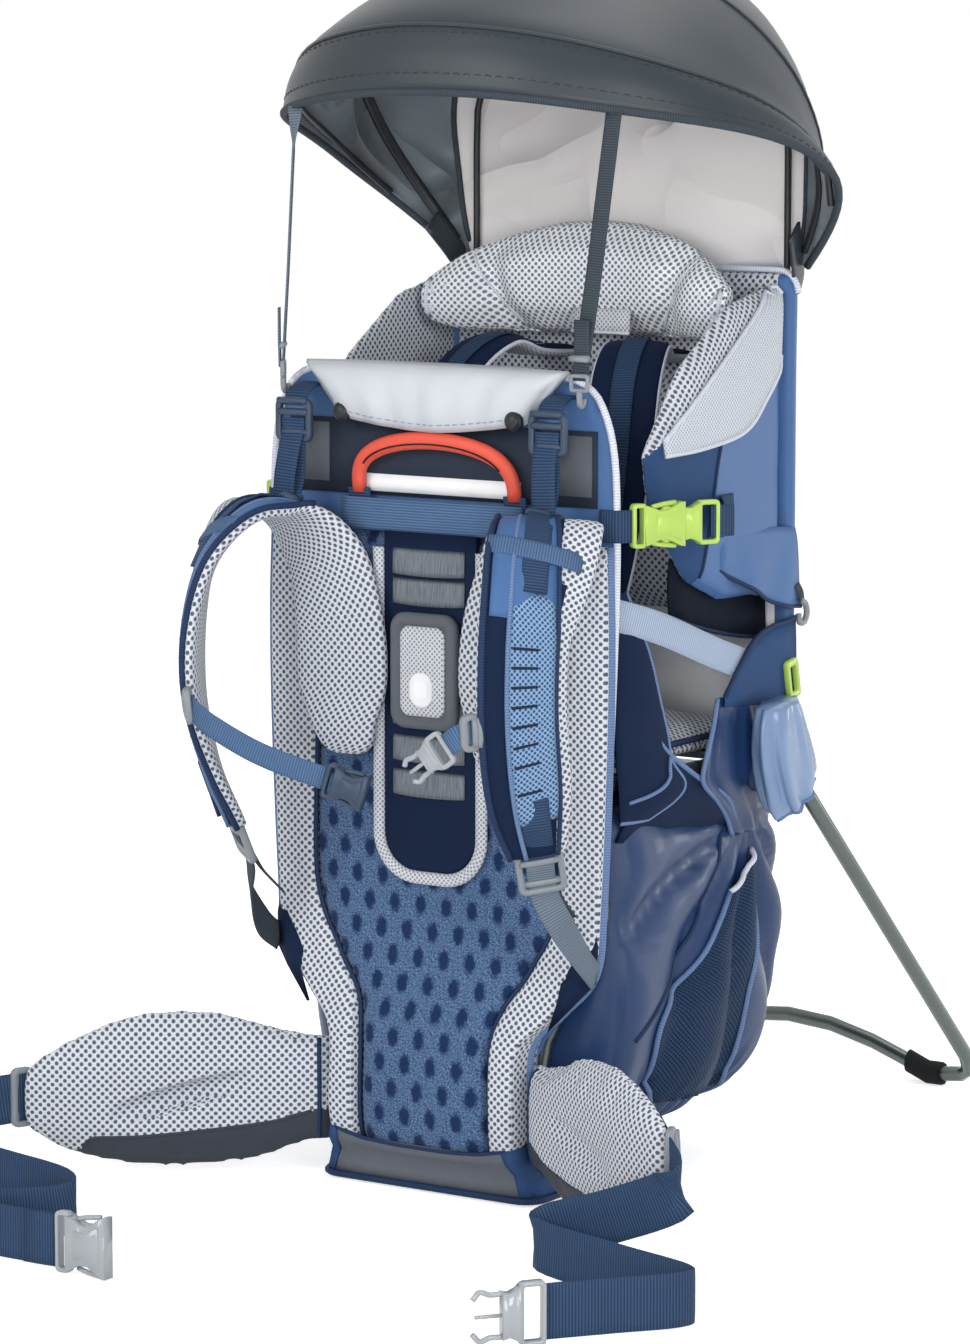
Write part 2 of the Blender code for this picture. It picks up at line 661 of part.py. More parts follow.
def make_stand(mats):
    """Bent tube stand with a rubber sleeve on each lower corner."""
    route = stand_route()
    normal = (0, PIVOT_Z - STAND_SOLE - STAND_RADIUS, STAND_FOOT_Y - PIVOT_Y)
    tube = loft("kickstand_tube", planar_rings(route, STAND_RADIUS, normal), mats["tube"])
    inner = planar_rings(route, STAND_RADIUS + FIT, normal)
    outer = planar_rings(route, STAND_RADIUS + STAND_SOLE, normal)
    first = 2 + 2 * BEND_STEPS
    spans = {"right": (first, first + 3)}
    spans["left"] = (len(route) - first - 3, len(route) - first)
    items = [tube]
    for word, (start, end) in spans.items():
        rings = outer[start:end] + list(reversed(inner[start:end]))
        items.append(loft("kickstand_foot_" + word, rings, mats["rubber"], True))
    hang(items, pivot("kickstand_axis", (0, PIVOT_Y, PIVOT_Z)))


def make_back_plate(mats):
    """Stiff sheet between the padding and the frame."""
    outline = mirror_points(PLATE_OUTLINE)
    near = [(x, PLATE_FRONT, z) for x, z in outline]
    far = [(x, PLATE_BACK, z) for x, z in outline]
    return prism("back_plate", near, far, mats["dark"])


def make_boot(mats):
    """Base that the pack stands on."""
    low = (-BOOT_HALF_WIDTH, BOOT_FRONT, 0)
    high = (BOOT_HALF_WIDTH, BOOT_BACK, BOOT_HEIGHT)
    return block("base_boot", low, high, mats["slate"], BOOT_BEVEL)


def back_section(x_inner, x_outer, front, height):
    """Crowned section of the back padding at one height."""
    width = x_outer - x_inner
    depth = PAD_BACK - front
    return [(x_inner + width * across, PAD_BACK - depth * out, height)
            for across, out in PAD_SECTION]


def back_stations():
    """Height, centre half width, outer half width and front of the back padding."""
    return smooth_rows(PAD_STATIONS, PAD_STEPS)


def pad_half_width(height):
    """Half width of the back padding at a height."""
    stations = back_stations()
    return float(np.interp(height, [row[0] for row in stations], [row[2] for row in stations]))


def make_back_pads(mats):
    """Centre pad of the back panel and the mesh pads beside it."""
    stations = back_stations()
    rings = [back_section(-half, half, front, z) for z, half, outer, front in stations]
    loft("centre_pad", rings, mats["blue"])
    for word, side in SIDES:
        rings = [back_section(side * (half + FIT), side * outer, front, z)
                 for z, half, outer, front in stations]
        loft("back_pad_" + word, rings, mats["mesh"])


def tongue_outline(half, low, top, corner):
    """Strip with a round lower end, as X and Z."""
    steps = 4
    arc = [(half - corner + corner * sin(pi / 2 * k / steps),
            low + corner - corner * cos(pi / 2 * k / steps)) for k in range(steps + 1)]
    return mirror_points(arc + [(half, top)])


def make_adjuster(mats):
    """Tongue panel with webbing rungs across it."""
    back = PAD_FACE - FIT
    front = back - PANEL_THICKNESS
    outline = tongue_outline(PANEL_HALF_WIDTH, PANEL_LOW, PANEL_TOP, PANEL_CORNER)
    near = [(x, front, z) for x, z in outline]
    far = [(x, back, z) for x, z in outline]
    item = prism("adjuster_panel", near, far, mats["navy"])
    for centre in RUNG_CENTRES:
        low = (-RUNG_HALF_WIDTH, front - RUNG_RISE, centre - RUNG_HEIGHT / 2)
        high = (RUNG_HALF_WIDTH, front + PANEL_THICKNESS / 2, centre + RUNG_HEIGHT / 2)
        item = boolean(item, block("rung", low, high, mats["silver"]), "UNION")
    return item


def make_grip(mats):
    """Pad that joins the shoulder straps and grips a rung."""
    back = PAD_FACE - FIT - PANEL_THICKNESS - RUNG_RISE - FIT
    corners = [(x, back, z) for x, z in mirror_points(((GRIP_HALF_WIDTH, GRIP_LOW),
                                                      (GRIP_HALF_WIDTH, GRIP_TOP)))]
    outline = soft_outline(corners, GRIP_CORNER)
    return cushion("adjuster_grip", outline, (0, -1, 0), GRIP_THICKNESS, GRIP_CROWN, mats["mesh"])


def strap_stations(side):
    """Centre points, width directions and widths of a shoulder strap."""
    rows = smooth_rows(STRAP_ROUTE, STRAP_STEPS)
    points = [Vector((side * x, y, z)) for x, y, z, turn, width in rows]
    acrosses = [Vector((side * cos(radians(row[3])), sin(radians(row[3])), 0)) for row in rows]
    return points, acrosses, [row[4] for row in rows]


def make_lock(name, length, width, mat):
    """Ladder lock about the origin: X along the web, Y across it, Z its thickness."""
    size = Vector((length, width, LOCK_THICKNESS)) / 2
    item = block(name, -size, size, mat, LOCK_THICKNESS / 5)
    slot = (length - 3 * LOCK_BAR) / 2
    for side in (-1, 1):
        middle = side * (LOCK_BAR + slot) / 2
        low = (middle - slot / 2, -width / 2 + LOCK_BAR, -LOCK_THICKNESS)
        high = (middle + slot / 2, width / 2 - LOCK_BAR, LOCK_THICKNESS)
        item = boolean(item, block("slot", low, high, mat), "DIFFERENCE")
    return item


def make_shoulder(word, side, mats):
    """Padded shoulder strap, its ladder lock and the web down to the back pad."""
    points, acrosses, widths = strap_stations(side)
    strap = ribbon("shoulder_strap_" + word, points, acrosses, widths, STRAP_THICKNESS,
                   mats["mesh"], pad_section)
    way = (points[-1] - points[-2]).normalized()
    lock = make_lock("ladder_lock_" + word, LOCK_LENGTH, NARROW_WEB + 3 * LOCK_BAR, mats["plastic"])
    place(lock, points[-1] + way * (FIT + LOCK_LENGTH / 2), way, way.cross(acrosses[-1]))
    make_lower_strap(word, side, points[-1] + way * (2 * FIT + LOCK_LENGTH), way, acrosses[-1], mats)
    return [strap, lock]


def make_lower_strap(word, side, start, way, across, mats):
    """Web from a ladder lock down to the side of the back padding."""
    pad_edge = pad_half_width(LOWER_STRAP_FOOT_Z + NARROW_WEB / 2) + FIT + WEB_THICKNESS / 2
    x, y, z = LOWER_STRAP_MIDDLE
    foot = Vector((side * pad_edge, LOWER_STRAP_FOOT_Y, LOWER_STRAP_FOOT_Z))
    near = foot + Vector((side * WEB_THICKNESS, -NARROW_WEB, NARROW_WEB * LOWER_STRAP_CLIMB))
    flat = Vector(LOWER_STRAP_FLAT)
    half_turned = across.lerp(flat, LOWER_STRAP_TWIST)
    rows = smooth_rows([(*(start + way * WEB_LEAD), *across), (side * x, y, z, *half_turned),
                        (*near, *flat)], LOWER_STRAP_STEPS)
    route = [start] + [Vector(row[:3]) for row in rows] + [foot]
    turns = [across] + [Vector(row[3:]) for row in rows] + [flat]
    widths = [NARROW_WEB] * len(route)
    ribbon("lower_strap_" + word, route, turns, widths, WEB_THICKNESS, mats["navy"])


def make_load_lifter(word, side, mats):
    """Ladder lock on the plate's corner and the web from it to the shoulder strap."""
    x = side * LIFT_X
    middle = LIFT_LOCK_TOP - LIFT_LOCK_HEIGHT / 2
    lock = make_lock("load_lock_" + word, LIFT_LOCK_HEIGHT, NARROW_WEB + 3 * LOCK_BAR, mats["plastic"])
    place(lock, (x, LIFT_LOCK_Y, middle), (0, 0, -1), (0, -1, 0))
    anchor = webbing("anchor", ((x, PLATE_FRONT - FIT, LIFT_ANCHOR_Z),
                                (x, (PLATE_FRONT + LIFT_LOCK_Y) / 2, LIFT_ANCHOR_Z),
                                (x, LIFT_LOCK_Y, LIFT_LOCK_TOP - LOCK_BAR / 2)),
                     NARROW_WEB, mats["navy"], (1, 0, 0))
    boolean(lock, anchor, "UNION")
    start = Vector((x, LIFT_LOCK_Y, LIFT_LOCK_TOP - LIFT_LOCK_HEIGHT - FIT))
    points, acrosses, widths = strap_stations(side)
    foot = points[LOAD_ROUTE_STEPS * STRAP_STEPS] + Vector((0, 0, STRAP_THICKNESS / 2 + NARROW_WEB / 4))
    middle = (start + foot) / 2 + Vector((0, LOAD_STRAP_SAG, 0))
    webbing("load_strap_" + word, (start, start + Vector((0, 0, -WEB_LEAD)), middle, foot),
            NARROW_WEB, mats["navy"], (1, 0, 0))


def make_handle(mats):
    """Soft carry handle that swings on the plate."""
    route = []
    for k in range(HANDLE_STEPS + 1):
        turn = pi * k / HANDLE_STEPS
        rise = max(sin(turn), 0.0) ** HANDLE_SQUARE if 0 < k < HANDLE_STEPS else 0.0
        route.append(Vector((HANDLE_HALF_SPAN * cos(turn), HANDLE_Y - HANDLE_LEAN * rise,
                             HANDLE_FOOT_Z + HANDLE_RISE * rise)))
    rings = planar_rings(route, HANDLE_RADIUS, (0, 1, 0))
    item = loft("carry_handle", rings, mats["red"])
    hang([item], pivot("handle_axis", (0, HANDLE_Y, HANDLE_FOOT_Z)))


def make_drool_pad(mats):
    """Soft pad over the plate's top edge."""
    half = ((DROOL_BOTTOM_HALF, DROOL_BOTTOM), (DROOL_TOP_HALF, DROOL_TOP))
    corners = [(x, PAD_BACK, z) for x, z in mirror_points(half)]
    outline = soft_outline(corners, DROOL_CORNER, CUSHION_DRAW)
    return cushion("drool_pad", outline, (0, -1, 0), DROOL_THICKNESS, DROOL_CROWN, mats["silver"])


def make_walls(mats):
    """Padded side walls and stiff rear wall of the child's compartment."""
    for word, side in SIDES:
        corners = [(side * WALL_INNER_X, y, z) for y, z in WALL_OUTLINE]
        outline = soft_outline(corners, WALL_CORNER)
        cushion("side_wall_" + word, outline, (side, 0, 0), WALL_THICKNESS, WALL_CROWN, mats["blue"])
    low = BAG_LEVELS[-1][0] + FIT
    half = ((REAR_HALF_WIDTH, low), (REAR_HALF_WIDTH, REAR_TOP))
    outline = soft_outline([(x, REAR_FRONT, z) for x, z in mirror_points(half)], REAR_CORNER)
    far = [point + Vector((0, REAR_THICKNESS, 0)) for point in outline]
    prism("rear_wall", outline, far, mats["blue"])


def make_backrest(mats):
    """Mesh pad behind the child."""
    half = ((BACKREST_HALF_WIDTH, BACKREST_LOW), (BACKREST_HALF_WIDTH, BACKREST_TOP))
    corners = [(x, REAR_FRONT - FIT, z) for x, z in mirror_points(half)]
    outline = soft_outline(corners, BACKREST_CORNER, CUSHION_DRAW)
    cushion("backrest_pad", outline, (0, -1, 0), BACKREST_THICKNESS, BACKREST_CROWN, mats["mesh"])


def make_headrest(mats):
    """Mesh pad above the backrest with wings swept to the front and a seam beside each."""
    shares = [-share for share in reversed(HEAD_SHARES)] + [0] + list(HEAD_SHARES)
    rings = []
    for share in shares:
        back = REAR_FRONT - FIT - HEAD_SWEEP * share * share
        depth = HEAD_DEPTH * (1 - HEAD_THINNING * share ** 4)
        if abs(share) == HEAD_SEAM:
            depth -= HEAD_SEAM_DEPTH
        top = HEAD_TOP - HEAD_DROP * share * share
        rings.append([(HEAD_HALF_WIDTH * share, back - depth * into, HEAD_LOW + (top - HEAD_LOW) * up)
                      for into, up in HEAD_SECTION])
    return loft("headrest", rings, mats["mesh"])


def make_seat(mats):
    """Seat pad on the seat frame, which lifts to suit the child."""
    low = SEAT_FRAME_Z + TUBE_RADIUS + FIT
    half = ((SEAT_HALF_WIDTH, SEAT_FRONT), (SEAT_HALF_WIDTH, SEAT_BACK))
    corners = [(x, y, low) for x, y in mirror_points(half)]
    outline = soft_outline(corners, SEAT_CORNER, CUSHION_DRAW)
    item = cushion("seat_pad", outline, (0, 0, 1), SEAT_THICKNESS, SEAT_CROWN, mats["mesh"])
    hang([item], pivot("seat_rail", (0, SEAT_FRONT, low)))


def make_child_strap(word, side, mats):
    """Padded strap of the child's harness, from the rear wall over the shoulder."""
    x, reach, z, width = CHILD_STRAP_ROUTE[0]
    rows = [(x, 0, z, width)] + smooth_rows(CHILD_STRAP_ROUTE, CHILD_STRAP_STEPS)
    wall = REAR_FRONT - FIT
    route = [Vector((side * x, wall - reach, z)) for x, reach, z, width in rows]
    root = 1 + CHILD_STRAP_STEPS
    turn = radians(CHILD_STRAP_TURN)
    acrosses = [Vector((1, 0, 0))] * root
    acrosses += [Vector((cos(turn), side * sin(turn), 0))] * (len(rows) - root)
    widths = [row[3] for row in rows]
    ribbon("child_strap_" + word, route, acrosses, widths, CHILD_STRAP_THICKNESS, mats["navy"],
           pad_section)


def make_bag(mats):
    """Storage bag under the seat and a stretch pocket on each side of it."""
    rings = []
    for z, half, front, back in BAG_LEVELS:
        ring = []
        for x_sign, y_sign in ((1, -1), (1, 1), (-1, 1), (-1, -1)):
            centre_x = x_sign * (half - BAG_CORNER)
            centre_y = (front + BAG_CORNER) if y_sign < 0 else (back - BAG_CORNER)
            turns = (0, pi / 4, pi / 2) if x_sign * y_sign > 0 else (pi / 2, pi / 4, 0)
            ring += [(centre_x + x_sign * BAG_CORNER * cos(turn),
                      centre_y + y_sign * BAG_CORNER * sin(turn), z) for turn in turns]
        rings.append(ring)
    loft("storage_bag", rings, mats["blue"])
    for word, side in SIDES:
        make_pocket(word, side, mats)


def make_pocket(word, side, mats):
    """Stretch pocket on the side of the bag, open at the top."""
    outer = [[Vector((side * (half + FIT + POCKET_SWELL * swell * out),
                      POCKET_FRONT + (POCKET_BACK - POCKET_FRONT) * along, z))
              for out, along in POCKET_SECTION]
             for (z, half, front, back), swell in zip(BAG_LEVELS[1:5], POCKET_SWELLS)]
    inner = [inset_ring(ring, Vector((0, 0, 1)), POCKET_WALL) for ring in outer[1:]]
    loft("side_pocket_" + word, outer + list(reversed(inner)), mats["dark"])


def box_ring(x, width, thickness):
    """Corners of a rectangle square to X."""
    return [(x, -width / 2, -thickness / 2), (x, width / 2, -thickness / 2),
            (x, width / 2, thickness / 2), (x, -width / 2, thickness / 2)]


def make_socket(name, length, width, thickness, mat):
    """Buckle socket about the origin, open at +X."""
    inner = (width - 2 * SOCKET_WALL, thickness - 2 * SOCKET_WALL)
    rings = [box_ring(0, width * BUCKLE_TAPER[0], thickness * BUCKLE_TAPER[1]),
             box_ring(length * SOCKET_NECK, width, thickness), box_ring(length, width, thickness),
             box_ring(length, *inner), box_ring(length * SOCKET_FLOOR, *inner)]
    return loft(name, rings, mat)


def make_plug(name, length, width, thickness, mat):
    """Buckle plug about the origin: its tongue runs along -X from its body."""
    slack = 2 * SOCKET_WALL + 2 * RUN_CLEARANCE
    inner = (width - slack, thickness - slack)
    rings = [box_ring(length * PLUG_BODY, width * BUCKLE_TAPER[0], thickness * BUCKLE_TAPER[1]),
             box_ring(length * (PLUG_BODY - PLUG_NECK), width, thickness),
             box_ring(0, width, thickness), box_ring(0, *inner),
             box_ring(-length * (PLUG_TONGUE - PLUG_NECK), *inner),
             box_ring(-length * PLUG_TONGUE, inner[0] * PLUG_TIP[0], inner[1] * PLUG_TIP[1])]
    return loft(name, rings, mat)


def make_side_buckle(word, side, mats):
    """Entry strap at the side of the compartment with its release buckle."""
    size = (SIDE_BUCKLE_LENGTH, WIDE_WEB + SIDE_BUCKLE_MARGIN, SIDE_BUCKLE_THICKNESS)
    turn = radians(SIDE_BUCKLE_TURN)
    way = Vector((side * sin(turn), cos(turn), 0))
    over = Vector((0, 0, 1)).cross(way)
    start = Vector((side * SIDE_BUCKLE_X, SIDE_BUCKLE_Y, SIDE_BUCKLE_Z))
    place(make_socket("side_socket_" + word, *size, mats["lime"]), start, way, over)
    plug_start = start + way * (SIDE_BUCKLE_LENGTH + FIT)
    plug = place(make_plug("side_plug_" + word, *size, mats["lime"]), plug_start, way, over)
    wall = WALL_INNER_X + WALL_THICKNESS + FIT + WEB_THICKNESS / 2
    tail_start = plug_start + way * (SIDE_BUCKLE_LENGTH * (PLUG_BODY - PLUG_TAIL_SINK))
    route = [tail_start, tail_start + way * (2 * WEB_LEAD)]
    route += [(side * (wall + x), y, SIDE_BUCKLE_Z) for x, y in zip(SIDE_TAIL_X, SIDE_TAIL_Y)]
    boolean(plug, webbing("tail", route, WIDE_WEB, mats["navy"], (0, 0, 1)), "UNION")
    make_side_strap(word, side, start - way * FIT, mats)
    hang([plug], pivot("side_plug_axis_" + word, plug_start))


def make_side_strap(word, side, end, mats):
    """Web from the face of the back plate round its edge to the entry buckle."""
    front = PLATE_FRONT - FIT - WEB_THICKNESS / 2
    edge = max(x for x, z in PLATE_OUTLINE)
    points = [(side * SIDE_STRAP_X, front, end.z), (side * edge, front, end.z),
              (side * (edge + (abs(end.x) - edge) * SIDE_STRAP_BOW), (front + end.y) / 2, end.z), end]
    webbing("side_strap_" + word, points, WIDE_WEB, mats["navy"], (0, 0, 1))


def make_foot_strap(word, side, mats):
    """Stirrup web across the leg opening, from the frame to the rear wall."""
    front = FRAME_Y + TUBE_RADIUS + FIT
    back = REAR_FRONT - FIT
    x = frame_half_width(STIRRUP_FRONT_Z)
    rear_x, rear_z = STIRRUP_REAR
    middle = smooth_rows([(x, front + WEB_LEAD, STIRRUP_FRONT_Z), *STIRRUP_MIDDLE,
                          (rear_x, back - WEB_LEAD, rear_z)], STIRRUP_STEPS)
    route = [(x, front, STIRRUP_FRONT_Z), *middle, (rear_x, back, rear_z)]
    points = [(side * x, y, z) for x, y, z in route]
    webbing("foot_strap_" + word, points, WIDE_WEB, mats["slate"], (0, 0, 1))


def hoop_point(hoop, share, pivot_x, origin_y):
    """Point on a hoop: share runs from 0 at the pivot to 1 at the middle."""
    lift, reach, half, tuck = hoop
    if share < SHADE_BEND:
        turn = share / SHADE_BEND
        out = tuck * reach * turn
        x = pivot_x + (half - pivot_x) * sin(turn * pi / 2)
    else:
        turn = (share - SHADE_BEND) / (1 - SHADE_BEND) * pi / 2
        out = reach * (tuck + (1 - tuck) * sin(turn))
        x = half * max(cos(turn), 0.0) ** SHADE_SQUARE
    angle = radians(lift + (90 - lift) * SHADE_CURL * (1 - out / reach) ** SHADE_CURL_POWER)
    return Vector((x, origin_y - out * cos(angle), SHADE_PIVOT_Z + out * sin(angle)))


def hoop_points(hoop, pivot_x, origin_y):
    """Points along a whole hoop from the left pivot to the right one."""
    shares = [k / SHADE_HALF_STEPS for k in range(SHADE_HALF_STEPS + 1)]
    right = [hoop_point(hoop, share, pivot_x, origin_y) for share in shares]
    left = [Vector((-point.x, point.y, point.z)) for point in right[:-1]]
    return left + list(reversed(right))


def make_shade_cover(rows, mats):
    """Cloth of the sunshade: a roof over the hoops and a panel at the rear."""
    centre = Vector((0, SHADE_Y, SHADE_PIVOT_Z))
    rear = [[centre + (point - centre) * share for point in rows[-1]] for share in SHADE_REAR_SHARES]
    shape = bmesh.new()
    grid = [[shape.verts.new(point) for point in row] for row in rows + rear]
    for low, high in zip(grid, grid[1:]):
        for index in range(len(low) - 1):
            shape.faces.new((low[index], low[index + 1], high[index + 1], high[index]))
    shape.faces.new(grid[-1])
    bmesh.ops.remove_doubles(shape, verts=shape.verts, dist=FIT / 10)
    item = finish("canopy_cover", shape, mats["slate"])
    skin = item.modifiers.new("cloth", "SOLIDIFY")
    skin.thickness = SHADE_CLOTH
    skin.offset = 0.0
    return item


def sewn_rod_route(low, high):
    """Centre line of a rod sewn under the cloth between two hoops."""
    ends = slice(FRONT_ROD_SKIP_STEPS, len(low) - FRONT_ROD_SKIP_STEPS)
    pairs = list(zip(low[ends], high[ends]))
    middle = [a.lerp(b, FRONT_ROD_SHARE) for a, b in pairs]
    depth = SHADE_CLOTH / 2 + SHADE_GAP + ROD_RADIUS
    route = []
    for point, way, (a, b) in zip(middle, tangents(middle), pairs):
        inward = way.cross(b - a).normalized()
        if inward.dot(Vector((0, SHADE_Y, SHADE_PIVOT_Z)) - point) < 0:
            inward = -inward
        route.append(point + inward * depth)
    return route


def make_shade(mats):
    """Sunshade with its rods, which tilts back on the rear wall."""
    rows = [hoop_points(hoop, SHADE_PIVOT_X, SHADE_Y) for hoop in SHADE_HOOPS]
    lift, reach, half, tuck = SHADE_HOOPS[-1]
    rear_hoop = (lift, reach - ROD_INSET, half - ROD_INSET, tuck)
    routes = {"canopy_front_rod": sewn_rod_route(*rows[:2]),
              "canopy_rear_rod": hoop_points(rear_hoop, SHADE_PIVOT_X - ROD_INSET, SHADE_PIVOT_Y)}
    items = [make_shade_cover(rows, mats)]
    for name, route in routes.items():
        items.append(loft(name, round_rings(route, ROD_RADIUS), mats["dark"]))
    hang(items, pivot("canopy_axis", (0, SHADE_PIVOT_Y, SHADE_PIVOT_Z)))
    for word, side in SIDES:
        make_shade_strap(word, side, mats)


def make_shade_strap(word, side, mats):
    """Hold-down strap of the sunshade with its hook on the lower end."""
    rim = hoop_point(SHADE_HOOPS[0], SHADE_STRAP_SHARE, SHADE_PIVOT_X, SHADE_Y)
    top = Vector((side * rim.x, rim.y, rim.z - RUN_CLEARANCE))
    hook = Vector((side * SHADE_HOOK_X, SHADE_HOOK_Y, SHADE_HOOK_Z))
    neck = hook + Vector((0, 0, SHADE_HOOK_HEIGHT / 2))
    route = [top, neck + (top - neck) * SHADE_STRAP_LEAD, neck, hook - Vector((0, 0, SHADE_HOOK_HEIGHT / 2))]
    widths = [SHADE_STRAP_WIDTH * share for share in SHADE_STRAP_WIDTHS]
    depths = [SHADE_STRAP_THICKNESS] * 2 + [SHADE_HOOK_THICKNESS] * 2
    rings = [flat_section(point, Vector((1, 0, 0)), Vector((0, 1, 0)), width, depth)
             for point, width, depth in zip(route, widths, depths)]
    item = loft("canopy_strap_" + word, rings, mats["slate"])
    hang([item], pivot("canopy_strap_axis_" + word, top))


def hip_root(side):
    """Point on the floor under a hip fin's hinge, close beside the back padding."""
    low, high = FIN_STATIONS[0][1:]
    widest = max(row[2] for row in back_stations() if low <= row[0] <= high)
    return Vector((side * (widest + FIT + FIN_THICKNESS / 2), HIP_Y, 0))


def fin_sections():
    """Distance from the hinge, low edge, high edge and thickness along a hip fin."""
    low, high = FIN_STATIONS[0][1:]
    radius = FIN_THICKNESS / 2
    root = [(-radius * cos(radians(turn)), low, high, FIN_THICKNESS * sin(radians(turn)))
            for turn in FIN_ROOT_TURNS]
    rows = [(0, low, high, FIN_THICKNESS)]
    rows += [(*row, FIN_THICKNESS) for row in FIN_STATIONS[:-1]]
    rows.append((*FIN_STATIONS[-1], FIN_THICKNESS * FIN_TIP_SHARE))
    return root + smooth_rows(rows, FIN_STEPS)


def make_hip(word, side, mats):
    """Hip fin with its belt and half of the belt's buckle."""
    turn = radians(HIP_TURN)
    way = Vector((side * cos(turn), -sin(turn), 0))
    normal = Vector((side * sin(turn), cos(turn), 0))
    root = hip_root(side)
    reach = FIN_STATIONS[-1][0]
    start, end = FIN_GROOVE_SPAN
    rings = []
    for s, low, high, depth in fin_sections():
        lift = FIN_TIP_LIFT[word] * max(s / reach, 0) ** 2
        centre = root + way * s + Vector((0, 0, (low + high) / 2 + lift))
        groove = FIN_GROOVE * sin(pi * (s - start) / (end - start)) if start < s < end else 0.0
        rings.append(fin_section(centre, Vector((0, 0, 1)), normal, high - low, depth, groove))
    fin = loft("hip_fin_" + word, rings, mats["mesh"])
    tip = root + way * (reach + FIT)
    tip.z = sum(FIN_STATIONS[-1][1:]) / 2 + FIN_TIP_LIFT[word]
    bend = smooth_rows([tip + way * BELT_LEAD, *BELT_ROUTES[word]], BELT_STEPS)
    route = [tip] + [Vector(row) for row in bend]
    belt = webbing("hip_belt_" + word, route, BELT_WEB, mats["navy"], (0, 0, 1))
    hang([fin, belt, make_hip_buckle(word, route, mats)], pivot("hip_axis_" + word, root))


def make_hip_buckle(word, route, mats):
    """Socket on the left end of the belt or plug on the right one."""
    size = (HIP_BUCKLE_LENGTH, BELT_WEB + HIP_BUCKLE_MARGIN, HIP_BUCKLE_THICKNESS)
    way = route[-1] - route[-2]
    way.z = 0
    way.normalize()
    over = Vector((0, 0, 1)).cross(way)
    if word == "left":
        item = make_socket("hip_socket", *size, mats["pale"])
        return place(item, route[-1] + way * FIT, way, over)
    item = make_plug("hip_plug", *size, mats["pale"])
    return place(item, route[-1] + way * (HIP_BUCKLE_LENGTH * PLUG_BODY + FIT), -way, over)


def make_sternum(word, side, mats):
    """Chest strap half that slides on the shoulder strap's edge."""
    points, acrosses, widths = strap_stations(side)
    station = STERNUM_ROUTE_STEPS * STRAP_STEPS
    inward = -acrosses[station]
    edge = points[station] + inward * (widths[station] / 2 + RUN_CLEARANCE)
    route = [edge, edge + inward * BELT_LEAD]
    route += [edge + Vector(step) for step in STERNUM_STEPS[word]]
    strap = webbing("sternum_strap_" + word, route, NARROW_WEB, mats["blue"], (0, 0, 1))
    way = (route[-1] - route[-2]).normalized()
    over = Vector((0, 0, 1)).cross(way)
    size = (STERNUM_BUCKLE_LENGTH, NARROW_WEB + STERNUM_BUCKLE_MARGIN, STERNUM_BUCKLE_THICKNESS)
    if word == "left":
        buckle = make_socket("sternum_socket", *size, mats["plastic"])
        place(buckle, route[-1] + way * FIT, way, over)
    else:
        buckle = make_plug("sternum_plug", *size, mats["pale"])
        place(buckle, route[-1] + way * (STERNUM_BUCKLE_LENGTH * PLUG_BODY + FIT), -way, over)
    hang([strap, buckle], pivot("sternum_axis_" + word, edge))


def build():
    """Make every piece of the carrier."""
    clear_scene()
    mats = make_materials()
    make_frame_tube(mats)
    make_seat_frame(mats)
    make_stand(mats)
    make_back_plate(mats)
    make_boot(mats)
    make_back_pads(mats)
    make_adjuster(mats)
    make_drool_pad(mats)
    make_handle(mats)
    make_walls(mats)
    make_backrest(mats)
    make_headrest(mats)
    make_seat(mats)
    make_bag(mats)
    make_shade(mats)
    harness = [make_grip(mats)]
    for word, side in SIDES:
        make_bracket("pivot_bracket_" + word, side, mats)
        harness += make_shoulder(word, side, mats)
        make_load_lifter(word, side, mats)
        make_child_strap(word, side, mats)
        make_side_buckle(word, side, mats)
        make_foot_strap(word, side, mats)
        make_hip(word, side, mats)
        make_sternum(word, side, mats)
    hang(harness, pivot("harness_rail", (0, STRAP_BASE_Y, GRIP_LOW)))


build()
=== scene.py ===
"""Looks of a framed child carrier backpack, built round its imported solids."""
from math import atan2, cos, pi, radians, sin

import bmesh
import bpy
from mathutils import Matrix, Vector, noise
from mathutils.bvhtree import BVHTree


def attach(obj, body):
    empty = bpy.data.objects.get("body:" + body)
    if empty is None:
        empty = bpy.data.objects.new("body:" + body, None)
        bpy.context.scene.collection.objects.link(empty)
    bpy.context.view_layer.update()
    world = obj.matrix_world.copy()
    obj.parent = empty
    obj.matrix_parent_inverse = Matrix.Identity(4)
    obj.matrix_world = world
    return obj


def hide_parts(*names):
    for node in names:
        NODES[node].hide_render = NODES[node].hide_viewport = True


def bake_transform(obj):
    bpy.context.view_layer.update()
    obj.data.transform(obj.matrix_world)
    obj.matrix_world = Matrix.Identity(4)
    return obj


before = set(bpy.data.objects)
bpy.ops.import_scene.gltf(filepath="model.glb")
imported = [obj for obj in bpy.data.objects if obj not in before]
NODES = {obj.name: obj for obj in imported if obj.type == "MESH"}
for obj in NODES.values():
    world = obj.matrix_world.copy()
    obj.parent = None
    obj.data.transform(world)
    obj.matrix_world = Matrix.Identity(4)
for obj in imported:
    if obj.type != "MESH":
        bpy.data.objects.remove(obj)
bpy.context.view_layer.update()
SIDES = (("left", -1), ("right", 1))
UP = Vector((0, 0, 1))
RIGHT = Vector((1, 0, 0))
REAR = Vector((0, 1, 0))
TO_WEARER = Vector((0, -1, 0))
CLOTH = 0.0022
WEB_THICK, THIN_WEB = 0.0022, 0.0020
THIN_PIPING, PIPING, HEM_PIPING, WIDE_PIPING = 0.0012, 0.0018, 0.0020, 0.0026
HIP_WEB, ENTRY_WEB, SHOULDER_WEB, TAIL_WEB, CHEST_WEB = 0.0400, 0.0250, 0.0215, 0.0205, 0.0180


# Colours and materials

def rgb(*display):
    """Linear colour from display values of 0 to 255."""
    return (*(((c / 255 + 0.055) / 1.055) ** 2.4 for c in display), 1.0)


